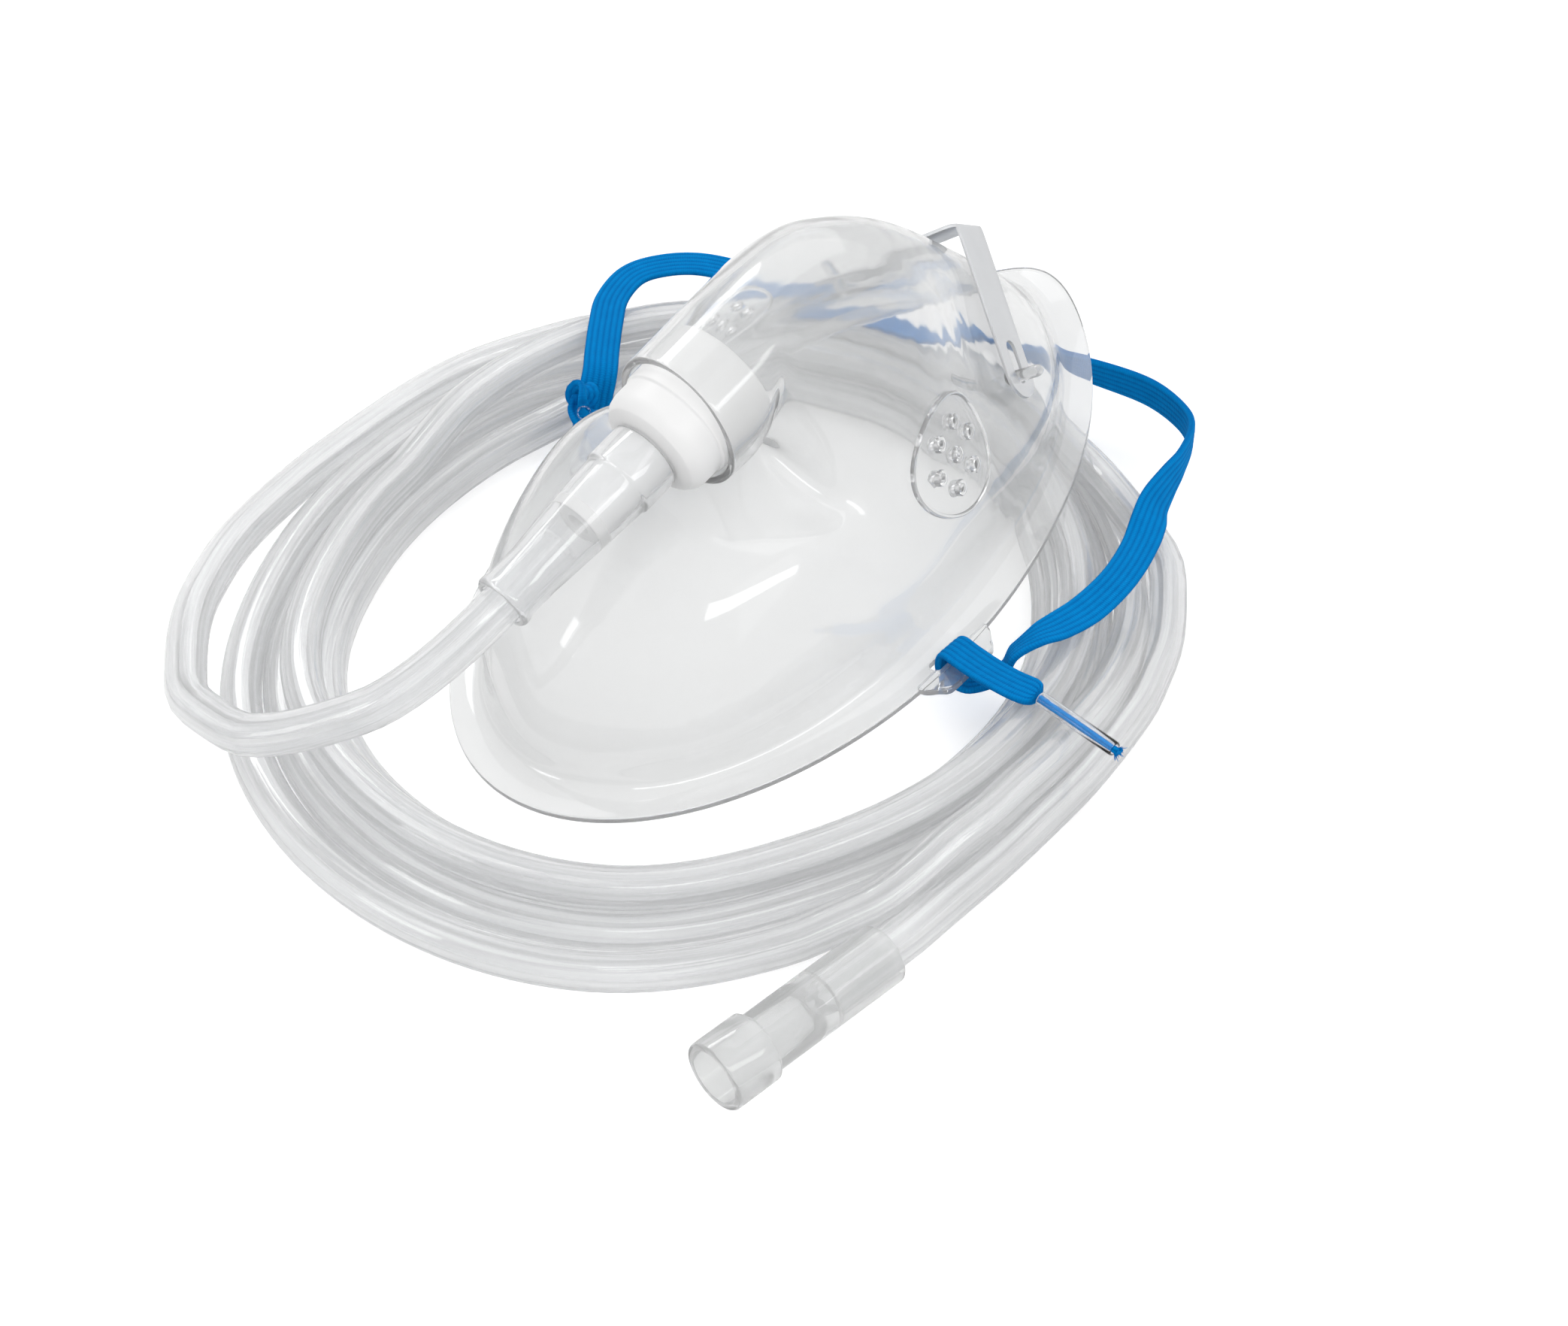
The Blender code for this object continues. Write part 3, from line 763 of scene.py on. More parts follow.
# A broad key from behind, a broad fill and three small lamps for the long gleams on the dome
LAMPS = (
    Lamp(Light.KEY, (-0.35, 0.45, 0.75), (1, 0, 0), (1.0, 1.0), 2.2),
    Lamp(Light.GLEAM, (-0.5, 0.12, 0.5), (0.3, 1, 0.3), (0.3, 0.12), 0.65),
    Lamp(Light.FILL, (0.7, -0.1, 0.7), (0, 1, 0), (0.9, 0.9), 0.9),
    Lamp(Light.GLEAM, (0.42, -0.15, 0.44), (0.31, 0.42, -0.06), (0.72, 0.12), 0.9),
    Lamp(Light.GLEAM, (-0.168, -0.565, 0.292), (1, -0.3, 0), (0.2, 0.13), 0.3),
)


@dataclass
class Studio:
    """The camera at the photograph's angle, the floor and the lamps."""

    lens: float = 68.0
    camera_place: Point = (249.25, -283.12, 360.19)
    target: Point = (14.7, -18.0, 0.0)
    floor_drop: float = 0.05 * MM
    floor_half: float = 2.0
    floor_colour: float = 0.82
    floor_lift: float = 0.32
    floor_lift_through: float = 0.1
    far_from: float = 0.25
    far_gain: float = 0.5
    world_shade: float = 0.72
    aim: Point = (0.02, -0.03, 0.03)

    def camera(self) -> None:
        """Places the camera."""
        data = bpy.data.cameras.new("camera")
        data.lens = self.lens
        data.clip_start = 0.01
        camera = bpy.data.objects.new("camera", data)
        bpy.context.scene.collection.objects.link(camera)
        place, target = in_metres([self.camera_place, self.target])
        camera.location = place
        camera.rotation_euler = (target - place).to_track_quat("-Z", "Y").to_euler()
        bpy.context.scene.camera = camera

    def floor(self) -> None:
        """A white floor that the camera sees as white, apart from the object's shadow."""
        mesh = bpy.data.meshes.new("floor")
        bm = bmesh.new()
        bmesh.ops.create_grid(bm, x_segments=1, y_segments=1, size=self.floor_half)
        bm.to_mesh(mesh)
        bm.free()
        mesh.transform(Matrix.Translation((0, 0, -self.floor_drop)))
        floor = bpy.data.objects.new("floor", mesh)
        bpy.context.scene.collection.objects.link(floor)
        paint = Paint("floor")
        grey = self.floor_colour
        paint.principled(Base_Color=(grey, grey, grey, 1.0), Roughness=0.9, Specular_IOR_Level=0.0)
        straight = paint.node("ShaderNodeLightPath", out="Is Camera Ray")
        far = paint.node("ShaderNodeVectorMath", {"operation": "LENGTH"}, {0: paint.place()}, out="Value")
        extra = self.floor_lift - self.floor_lift_through + ((far - self.far_from) * self.far_gain).clamped()
        white = paint.seen_white() * self.floor_lift_through + straight * extra
        glow = paint.node("ShaderNodeEmission", {}, {"Strength": white})
        lit = Wire(paint, paint.shader.outputs[0])
        paint.fill(paint.output.inputs["Surface"], paint.node("ShaderNodeAddShader", {}, {0: lit, 1: glow}))
        mesh.materials.append(paint.material)

    def world(self) -> None:
        """White behind the object, a plain grey for the light that it gives."""
        world = bpy.data.worlds.new("world")
        bpy.context.scene.world = world
        world.use_nodes = True
        graph = Graph(world.node_tree)
        back = world.node_tree.nodes["Background"]
        graph.fill(back.inputs["Color"], (1, 1, 1, 1))
        shade = self.world_shade
        graph.fill(back.inputs["Strength"], shade + (1 - shade) * graph.seen_white())

    def light(self, lamp: Lamp) -> None:
        """Hangs one lamp.

        Args:
            lamp: Which one.
        """
        data = bpy.data.lights.new(lamp.use.value, "AREA")
        data.shape = "RECTANGLE"
        data.size, data.size_y = lamp.size
        data.energy = lamp.power
        hung = bpy.data.objects.new(lamp.use.value, data)
        bpy.context.scene.collection.objects.link(hung)
        z = (Vector(lamp.place) - Vector(self.aim)).normalized()
        x = (Vector(lamp.along) - z * z.dot(Vector(lamp.along))).normalized()
        hung.location = lamp.place
        hung.rotation_euler = Matrix((x, z.cross(x), z)).transposed().to_euler()


# Supply tube


@dataclass
class SupplyTube:
    """The tube from the cuff round the coil to the supply connector, with ribs in its bore."""

    radius: float = 3.5 * MM
    bore: float = 1.75 * MM
    bore_ribs: int = 6
    rib_height: float = 0.25 * MM
    line_stretch: float = 0.02
    around: int = 30
    step: float = 3.0 * MM
    # Heights above the collar's lip and above the connector's mouth, in millimetres
    in_cuff: tuple[float, ...] = (28.4, 35.4, 43.5)
    in_connector: tuple[float, ...] = (36.9, 29.0, 22.3)
    coil_step: float = 6.0
    press_reach: float = 1.6
    coil_centre: tuple[float, float] = (-1.5, -26.0)
    coil_top: float = 13.1
    coil_dip: float = 1.3
    # Every 30 degrees from +X, counterclockwise: radius of the middle strand and distance between strands
    lane_middle: tuple[float, ...] = (65.0, 67.6, 69.5, 72.0, 70.5, 66.8, 63.9, 66.4, 72.0, 73.0, 71.1, 65.3)
    lane_gap: tuple[float, ...] = (7.55, 7.8, 7.15, 7.5, 7.6, 7.3, 7.1, 7.15, 7.15, 7.5, 7.6, 7.15)
    route: Row = field(default_factory=list)

    # From the cuff's narrow end round to the coil's outer side
    lead: tuple[Point, ...] = (
        (-2.0, -80.4, 35.8), (-4.4, -86.8, 32.1), (-7.7, -91.9, 28.6), (-12.1, -95.6, 25.5),
        (-16.8, -98.9, 22.6), (-21.9, -102.5, 20.3), (-26.9, -104.6, 18.6), (-33.7, -104.6, 17.2),
        (-41.1, -103.7, 16.2), (-47.4, -99.4, 15), (-56.6, -91, 13), (-63.5, -82.3, 11), (-71, -68.5, 8.5),
        (-76.9, -49.6, 5.5), (-79.4, -32.7, 3.8), (-79.6, -17.4, 3.5), (-77.5, -3.9, 3.5),
    )
    # From the coil's outer side to the supply connector
    tail: tuple[Point, ...] = (
        (70.4, -11.3, 3.6), (71.1, -26.1, 3.6), (71.2, -37.8, 3.7), (71.1, -48.3, 4.3), (71.4, -56.6, 5.3),
    )
    # For each turn: angle in degrees, lane (0 is the inner strand, 2 the outer one) and height
    turns: tuple[tuple[Point, ...], ...] = (
        ((150, 2.78, 3.5), (138, 2.5, 3.5), (126, 2.2, 3.5), (115, 2.05, 3.5), (100, 2, 3.5), (60, 2, 3.5),
         (48, 1.95, 3.6), (38, 1.75, 4.8), (28, 1.6, 7.2), (15, 1.5, 9.2), (0, 1.5, 9.5), (-12, 1.65, 8.8),
         (-24, 1.95, 5.2), (-36, 2.02, 3.5), (-150, 2, 3.5), (-185, 2, 3.5)),
        ((163, 1.95, 3.5), (150, 1.6, 3.5), (138, 1.3, 3.5), (126, 1.1, 3.5), (115, 1, 3.5), (60, 1, 3.5),
         (48, 0.93, 3.5), (38, 0.85, 3.5), (28, 0.88, 3.5), (15, 0.97, 3.5), (0, 1, 3.5), (-185, 1, 3.5)),
        ((163, 0.9, 3.5), (150, 0.55, 3.5), (138, 0.25, 3.5), (126, 0.05, 3.5), (115, 0, 3.5), (60, 0, 3.5),
         (45, -0.05, 3.5), (15, 0, 3.5), (-185, 0, 3.5)),
        ((163, -0.15, 4.2), (150, -0.3, 6.5), (138, 0, 10.3), (126, 0.4, 9.9), (115, 0.5, 9.5), (-170, 0.5, 9.5)),
        ((175, 1, 10.5), (163, 1.4, 9.7), (150, 1.6, 10.5), (138, 1.75, 9.9), (126, 1.65, 9.6), (115, 1.52, 9.5),
         (90, 1.5, 9.5), (75, 1.6, 9.7), (60, 2, 10.5), (48, 2.6, 8.2), (38, 2.5, 4.8), (28, 2.2, 3.6),
         (20, 2.08, 3.6)),
    )

    @staticmethod
    def round_list(values: tuple[float, ...], share: float) -> float:
        """Smooth value round the coil, from values at equal steps.

        Args:
            values: The values.
            share: Share of the whole turn.

        Returns:
            The value there.
        """
        count = len(values)
        place = (share % 1.0) * count
        i = int(math.floor(place)) % count
        t = place - math.floor(place)
        a, b, c, d = (values[(i + k) % count] for k in (-1, 0, 1, 2))
        bend = (2 * a - 5 * b + 4 * c - d) * t**2 + (3 * b - a - 3 * c + d) * t**3
        return 0.5 * (2 * b + (c - a) * t + bend)

    def coil_place(self, degrees: float, lane: float, height: float) -> Point:
        """A point of the coil.

        Args:
            degrees: Angle round the coil.
            lane: 0 for the inner strand, 2 for the outer one.
            height: In millimetres.

        Returns:
            The point in millimetres.
        """
        share = degrees / 360
        turn = math.radians(degrees)
        middle = self.round_list(self.lane_middle, share)
        gap = self.round_list(self.lane_gap, share)
        radius = middle + gap * (lane - 1)
        x = self.coil_centre[0] + radius * math.cos(turn)
        y = self.coil_centre[1] + radius * math.sin(turn)
        return x, y, height

    def pressed(self, place: Vector) -> Vector:
        """Lowers the tube where the mask's nose presses on the coil.

        Args:
            place: A place on the tube.

        Returns:
            The lowered place.
        """
        centre_y = self.coil_centre[1] * MM + SHIFT_Y
        reach = Vector((place.x - self.coil_centre[0] * MM, place.y - centre_y))
        near_nose = min(1.0, self.press_reach * max(0.0, reach.y / reach.length)) ** 2
        return Vector((place.x, place.y, place.z * (1 - self.coil_dip * near_nose / self.coil_top)))

    def coil_points(self) -> list[Point]:
        """Points of the coil, a few degrees apart, from the lead to the tail.

        Returns:
            The points in millimetres.
        """
        keys = []
        for number, turn in enumerate(self.turns):
            keys += [(angle - 360 * number, lane, height) for angle, lane, height in turn]
        keys = np.array(keys)
        angles = np.arange(keys[0, 0], keys[-1, 0] - 0.1, -self.coil_step)
        lanes = np.interp(-angles, -keys[:, 0], keys[:, 1])
        heights = np.interp(-angles, -keys[:, 0], keys[:, 2])
        return [self.coil_place(*spot) for spot in zip(angles, lanes, heights)]

    def make_route(self, collar: Matrix, supply: Matrix) -> Row:
        """The whole route of the tube's middle line.

        Args:
            collar: Frame of the mask's collar.
            supply: Frame of the supply connector's mouth.

        Returns:
            Points at even distances, in metres.
        """
        begin = [collar @ Vector((0, 0, at * MM)) for at in self.in_cuff]
        finish = [supply @ Vector((0, 0, at * MM)) for at in self.in_connector]
        middle = shifted([*self.lead, *self.coil_points(), *self.tail])
        smooth = smooth_route(begin + middle + finish, 6)
        lifted = [Vector((p.x, p.y, max(p.z, self.radius))) for p in smooth]
        self.route = even_route(lifted, self.step)
        return self.route

    def rings(self) -> tuple[list[Row], list[Row]]:
        """Loops of the outside and of the ribbed bore along the route.

        Returns:
            The outer and the inner loops.
        """
        outer, inner = [], []
        last = len(self.route) - 1
        side = Vector((1, 0, 0))
        for i, place in enumerate(self.route):
            along = (self.route[min(i + 1, last)] - self.route[max(i - 1, 0)]).normalized()
            side = (side - along * side.dot(along)).normalized()
            up = along.cross(side)
            outer_row, inner_row = [], []
            for j in range(self.around):
                turn = 2 * math.pi * j / self.around
                way = side * math.cos(turn) + up * math.sin(turn)
                bore = self.bore + self.rib_height * math.cos(self.bore_ribs * turn)
                outer_row.append(self.pressed(place + way * self.radius))
                inner_row.append(self.pressed(place + way * bore))
            outer.append(outer_row)
            inner.append(inner_row)
        return outer, inner

    def mark_streaks(self, mesh: bpy.types.Mesh) -> None:
        """Keeps a pattern place on each point, stretched along the tube, for the relief lines and the painted light
        and dark streaks of its finish.

        Args:
            mesh: The tube's mesh.
        """
        count = len(self.route)
        places = []
        for i in [*range(count), *reversed(range(count))]:
            for x, y in circle(self.radius, self.around):
                places += [x, y, i * self.step * self.line_stretch]
        mesh.attributes.new("streak", "FLOAT_VECTOR", "POINT").data.foreach_set("vector", places)

    def build(self, collar: Matrix, supply: Matrix, connector: bpy.types.Object) -> bpy.types.Object:
        """Args:
            collar: Frame of the mask's collar.
            supply: Frame of the supply connector's mouth.
            connector: The piece on the tube's far end; not used.

        Returns:
            The tube.
        """
        self.make_route(collar, supply)
        outer, inner = self.rings()
        mesh = lofted("oxygen_tube", [*outer, *inner[::-1], outer[0]], joined=True)
        self.mark_streaks(mesh)
        tube = shown("oxygen_tube", mesh, 50)
        tube.data.materials.append(CLEAR_TUBE.made())
        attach(tube, BODY)
        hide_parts("tube_lead", "tube_coil", "tube_tail")
        length = route_length(self.route)
        LOG.info("oxygen_tube: %.3f m", length)
        return tube


# Mask shell


@dataclass
class MaskShell:
    """The clear moulding: dome, bowl, rim, collar, ears, vents and pegs."""

    half_width: float = 41.3 * MM
    chin_length: float = 66.3 * MM
    nose_length: float = 78.4 * MM
    widest_y: float = -10.0 * MM
    dome_height: float = 60.0 * MM
    nose_arch: float = 5.6 * MM
    wall: float = 1.3 * MM
    flange: float = 6.3 * MM
    nose_taper: float = 1.8
    columns: int = 8
    collar_r: float = 12.1 * MM
    collar_tilt: float = math.radians(8.5)
    lip_y: float = -26.3 * MM
    lip_z: float = 46.0 * MM
    root_bottom: float = -15.5 * MM
    root_top: float = -7.5 * MM
    ear_thickness: float = 1.6 * MM
    ear_lift: float = 0.12 * MM
    ear_outline: tuple[tuple[float, float], ...] = ((-0.6, 8.9), (0.9, 8.3), (2.3, 6.9), (3.5, 5.9), (3.9, 4.1))
    slot_inset: float = 1.4 * MM
    slot_y: float = -9.5 * MM
    slot_width: float = 2.4 * MM
    slot_length: float = 8.0 * MM
    vent_share: Point = (0.6465, 0.2462, 0.4233)
    vent_facing: Point = (0.88, 0.27, 0.385)
    vent_r: float = 10.6 * MM
    vent_raise: float = 0.5 * MM
    vent_edge: float = 0.15 * MM
    vent_sink: float = 0.4 * MM
    edge_round: float = 0.3 * MM
    cut_reach: float = 4.0 * MM
    disc_reach: float = 9.0 * MM
    probe_height: float = 20.0 * MM
    vent_bead_r: float = 0.38 * MM
    vent_hole_r: float = 0.8 * MM
    vent_boss_r: float = 1.45 * MM
    vent_ring: float = 5.6 * MM
    peg_share: Point = (0.4625, 0.5561, 0.315)
    peg_facing: Point = (4.1, 1.6, 3.0)
    peg_r: float = 0.95 * MM
    # Height in millimetres and share of the radius
    peg_stages: tuple[tuple[float, float], ...] = (
        (-0.8, 1.45), (0.4, 1.2), (6.2, 1.12), (6.8, 0.97), (7.2, 0.65), (7.35, 0.22),
    )
    smoothing: int = 4
    ripple_start: float = -15.0 * MM
    ripple_reach: float = 45.0 * MM
    ripple_least: float = 0.12
    # One row for each loop between the rim and the collar, each from the chin's column to the nose's
    form_loops: tuple[tuple[Point, ...], ...] = (
        ((0, -0.868, 0.17), (0.33, -0.79, 0.175), (0.605, -0.65, 0.18), (0.78, -0.355, 0.185), (0.805, -0.005, 0.17),
         (0.76, 0.29, 0.18), (0.56, 0.605, 0.18), (0.285, 0.785, 0.20), (0, 0.842, 0.25)),
        ((0, -0.70, 0.41), (0.29, -0.64, 0.40), (0.53, -0.53, 0.40), (0.70, -0.30, 0.385), (0.715, 0.01, 0.31),
         (0.685, 0.225, 0.38), (0.46, 0.46, 0.41), (0.235, 0.60, 0.46), (0, 0.667, 0.528)),
        ((0, -0.40, 0.572), (0.22, -0.38, 0.56), (0.41, -0.31, 0.545), (0.58, -0.18, 0.505), (0.60, 0.0, 0.43),
         (0.585, 0.15, 0.58), (0.41, 0.34, 0.72), (0.205, 0.455, 0.74), (0, 0.475, 0.815)),
        ((0, -0.105, 0.58), (0.13, -0.10, 0.57), (0.285, -0.075, 0.525), (0.435, -0.04, 0.48), (0.465, 0.01, 0.565),
         (0.41, 0.08, 0.765), (0.27, 0.20, 0.91), (0.145, 0.25, 0.975), (0, 0.26, 1.0)),
    )

    def collar_frame(self) -> Matrix:
        """A frame at the collar's lip with Z outwards along its axis, as the mask lies."""
        direction = Vector((0, -math.cos(self.collar_tilt), -math.sin(self.collar_tilt)))
        return mask_pose() @ facing(Vector((0, self.lip_y, self.lip_z)), direction)

    def rim_point(self, column: int) -> tuple[float, float]:
        """Outer edge of the rim.

        Args:
            column: Column, from 0 at the chin.

        Returns:
            The place's X and Y.
        """
        turn = math.pi * column / self.columns
        if turn <= math.pi / 2:
            return self.half_width * math.sin(turn), self.widest_y - self.chin_length * math.cos(turn)
        power = 2 / self.nose_taper
        x = self.half_width * max(math.sin(turn), 0.0) ** power
        return x, self.widest_y + self.nose_length * abs(math.cos(turn)) ** power

    def form_place(self, share: Point) -> Vector:
        """A point of the form.

        Args:
            share: Shares of half width, of chin or nose length, and of dome height.

        Returns:
            The point.
        """
        x, y, z = share
        length = self.nose_length if y > 0 else self.chin_length
        return Vector((x * self.half_width, self.widest_y + y * length, z * self.dome_height))

    def collar_point(self, column: int, share: float) -> Vector:
        """A point on the collar.

        Args:
            column: Clock column, from 0 at the chin's side.
            share: Share of the way from the collar's root to its lip.

        Returns:
            The point.
        """
        turn = math.pi * column / self.columns
        root = self.root_bottom + (self.root_top - self.root_bottom) * (1 - math.cos(turn)) / 2
        y = root + (self.lip_y - root) * share
        centre_z = self.lip_z + (y - self.lip_y) * math.tan(self.collar_tilt)
        z = centre_z - self.collar_r * math.cos(turn) / math.cos(self.collar_tilt)
        return Vector((self.collar_r * math.sin(turn), y, z))

    def rim_loop(self, row: int) -> Row:
        """Points of the rim, from chin to nose.

        Args:
            row: 0 for its edge, 1 for the flange's inner line.

        Returns:
            The points.
        """
        points = []
        for column in range(self.columns + 1):
            x, y = self.rim_point(column)
            lift = self.nose_arch * max(0.0, (column - self.columns + 2) / 2) ** 2
            inset = 1 - row * self.flange / math.hypot(x, y - self.widest_y)
            place = (x * inset, self.widest_y + (y - self.widest_y) * inset, (1 + row) * self.wall + lift)
            points.append(Vector(place))
        return points

    def targets(self) -> np.ndarray:
        """Every loop of surface points, from the rim's edge to the collar's lip.

        Returns:
            The points, by loop and column.
        """
        loops = [self.rim_loop(0), self.rim_loop(1)]
        loops += [[self.form_place(point) for point in row] for row in self.form_loops]
        for share in (0.0, 0.35, 1.0):
            loops.append([self.collar_point(column, share) for column in range(self.columns + 1)])
        full = []
        for half in loops:
            mirror = [Vector((-p.x, p.y, p.z)) for p in half[-2:0:-1]]
            full.append([place[:] for place in [*half, *mirror]])
        return np.array(full)

    def cage(self, rounds: int = 12) -> list[Row]:
        """Works out a cage whose subdivision surface passes through the targets.

        Args:
            rounds: Corrections made.

        Returns:
            The cage's loops.
        """
        targets = self.targets()
        cage = targets.copy()
        for _ in range(rounds):
            across = np.roll(cage, 1, axis=1) + np.roll(cage, -1, axis=1)
            mean = (across + 4 * cage) / 6
            reached = mean.copy()
            reached[1:-1] = (mean[:-2] + 4 * mean[1:-1] + mean[2:]) / 6
            cage += targets - reached
        return [[Vector(place) for place in row] for row in cage]

    def sheet(self, name: str, levels: int) -> bpy.types.Object:
        """The shell's outer surface as an open sheet.

        Args:
            name: The object's name.
            levels: Subdivisions.

        Returns:
            The sheet.
        """
        piece = loose(name, lofted(name, self.cage()))
        smooth = piece.modifiers.new("smooth", "SUBSURF")
        smooth.levels = levels
        smooth.render_levels = levels
        return piece

    @staticmethod
    def both_sides(make: Callable[[Matrix], bpy.types.Mesh], frame_in: Matrix) -> list[bpy.types.Mesh]:
        """Bodies made in a frame and in its mirror image."""
        return [make(frame_in), make(mirrored(frame_in))]

    def surface(self) -> BVHTree:
        """The smooth outer surface, to find places on it.

        Returns:
            The surface as a search tree.
        """
        piece = self.sheet("surface_probe", 3)
        bpy.context.view_layer.update()
        tree = BVHTree.FromObject(piece, bpy.context.evaluated_depsgraph_get())
        bpy.data.objects.remove(piece, do_unlink=True)
        return tree

    def peg_frame(self, surface: BVHTree) -> Matrix:
        """Where the peg leaves the shell.

        Args:
            surface: The shell's surface.

        Returns:
            A frame with Z outwards along the peg.
        """
        out = Vector(self.peg_facing).normalized()
        hit = surface.ray_cast(self.form_place(self.peg_share) + out * self.probe_height, -out)[0]
        return facing(hit, out)

    def ear(self, side: int) -> bpy.types.Mesh:
        """A strap ear with rounded edges.

        Args:
            side: 1 or -1.

        Returns:
            The ear.
        """
        upper = [(self.half_width + out * MM, self.slot_y + up * MM) for out, up in self.ear_outline]
        lower = [(x, 2 * self.slot_y - y) for x, y in reversed(upper)]
        curve = smooth_route([Vector((x, y, 0)) for x, y in upper + lower], 4)
        place = Matrix.Diagonal((side, 1, 1, 1))
        low, high = self.ear_lift, self.ear_lift + self.ear_thickness
        soft = 0.25 * MM
        rows = []
        for height, inset in ((low, soft), (low + soft, 0), (high - soft, 0), (high, soft)):
            shrink = 1 - inset / (9 * MM)
            spots = [Vector((p.x - inset, self.slot_y + (p.y - self.slot_y) * shrink, height)) for p in curve]
            rows.append([place @ spot for spot in spots])
        return lofted("ear", rows, close_ends=True)

    def slot(self, side: int) -> bpy.types.Mesh:
        """The hole for the strap, with rounded corners.

        Args:
            side: 1 or -1.

        Returns:
            The body that cuts it.
        """
        x, y = (self.half_width - self.slot_inset) * side, self.slot_y
        half, reach, corner = self.slot_width / 2, self.slot_length / 2, 0.5 * MM
        outline = []
        for cx, cy, first in ((1, 1, 0), (-1, 1, 90), (-1, -1, 180), (1, -1, 270)):
            for extra in (0, 30, 60, 90):
                turn = math.radians(first + extra)
                across = cx * (half - corner) + corner * math.cos(turn)
                along = cy * (reach - corner) + corner * math.sin(turn)
                outline.append((x + across, y + along))
        return prism(outline, -3 * MM, 6 * MM, Matrix())

    def peg(self, place: Matrix) -> bpy.types.Mesh:
        """A peg with a rounded head."""
        profile = tuple((self.peg_r / MM * share, height) for height, share in self.peg_stages)
        return lofted("peg", turned_rows(profile, place, 20), close_ends=True)

    def boss(self, place: Matrix) -> bpy.types.Mesh:
        """The small raised ring round one vent hole.

        Args:
            place: Frame on the surface.

        Returns:
            The body.
        """
        r = self.vent_boss_r / MM
        profile = ((r, -1.6), (r, 0.95), (r - 0.15, 1.15), (r - 0.4, 1.2))
        return lofted("boss", turned_rows(profile, place, 20), close_ends=True)

    @staticmethod
    def bead(places: Row, centre: Vector, axis: Vector, radius: float) -> bpy.types.Mesh:
        """A round bead along a closed line.

        Args:
            places: The line's points.
            centre: A point inside it.
            axis: Direction out of its plane.
            radius: Of the bead.

        Returns:
            The bead.
        """
        rows = []
        for place in places:
            out = (place - centre).normalized()
            turns = [2 * math.pi * i / 12 for i in range(12)]
            rows.append([place + radius * (out * math.cos(turn) + axis * math.sin(turn)) for turn in turns])
        return lofted("bead", [*rows, rows[0]], joined=True)

    def vent_bead(self, surface: BVHTree, vent: Matrix) -> bpy.types.Mesh:
        """The raised line round a vent disc.

        Args:
            surface: The shell's surface.
            vent: The disc's frame.

        Returns:
            The bead.
        """
        axis = vent.to_3x3() @ Vector((0, 0, 1))
        places = []
        for x, y in circle(self.vent_r - self.vent_bead_r, 72):
            hit = surface.ray_cast(vent @ Vector((x, y, self.probe_height)), -axis)[0]
            places.append(hit + axis * self.vent_raise)
        return self.bead(places, vent.translation, axis, self.vent_bead_r)

    def mark_ripples(self, shell: bpy.types.Object, surface: BVHTree) -> None:
        """Keeps how strongly the outer surface ripples: more towards the nose, not at all inside.

        Args:
            shell: The finished shell.
            surface: Its surface.
        """
        back = mask_pose().inverted()
        strengths = []
        for vert in shell.data.vertices:
            place = back @ vert.co
            near = surface.find_nearest(place)[3] < self.wall / 2
            rise = min(1.0, max(0.0, (place.y - self.ripple_start) / self.ripple_reach))
            ramp = rise * rise * (3 - 2 * rise)
            strengths.append(near * (self.ripple_least + (1 - self.ripple_least) * ramp))
        shell.data.attributes.new("ripple", "FLOAT", "POINT").data.foreach_set("value", strengths)

    def spot_frames(self, surface: BVHTree) -> list[Matrix]:
        """Places of the holes in the +X vent field.

        Args:
            surface: The shell's surface.

        Returns:
            A frame on the surface for each hole.
        """
        out = Vector(self.vent_facing).normalized()
        vent = facing(self.form_place(self.vent_share), out)
        frames = []
        for x, y in [(0.0, 0.0), *circle(self.vent_ring, 6)]:
            start = vent @ Vector((x, y, self.probe_height))
            frames.append(facing(surface.ray_cast(start, -out)[0], out))
        return frames

    def build(self) -> bpy.types.Object:
        """Makes the shell.

        Returns:
            The shell.
        """
        surface = self.surface()
        vent = facing(self.form_place(self.vent_share), Vector(self.vent_facing))
        pad = self.sheet("vent_pad", self.smoothing)
        pad_wall = pad.modifiers.new("wall", "SOLIDIFY")
        pad_wall.thickness = self.vent_raise + self.vent_sink
        pad_wall.offset = 1 - 2 * self.vent_sink / pad_wall.thickness
        reach = self.disc_reach
        discs = self.both_sides(lambda f: prism(circle(self.vent_r, 96), -reach, reach, f), vent)
        disc = loose("vent_discs", joined_mesh("vent_discs", discs))
        add_boolean(pad, disc, "INTERSECT")
        bevelled(pad, self.vent_edge, 2, 60)

        extras = [self.ear(1), self.ear(-1), *self.both_sides(self.peg, self.peg_frame(surface))]
        beads = self.both_sides(lambda f: self.vent_bead(surface, f), vent)
        holes = [self.slot(1), self.slot(-1)]
        spots = self.spot_frames(surface)
        for spot in spots:
            extras += self.both_sides(self.boss, spot)
            outline = circle(self.vent_hole_r, 20)
            holes += self.both_sides(lambda f: prism(outline, -self.cut_reach, self.cut_reach, f), spot)
        extra = loose("ears_and_pegs", joined_mesh("ears_and_pegs", extras + beads))
        hole = loose("slots_and_holes", joined_mesh("slots_and_holes", holes))

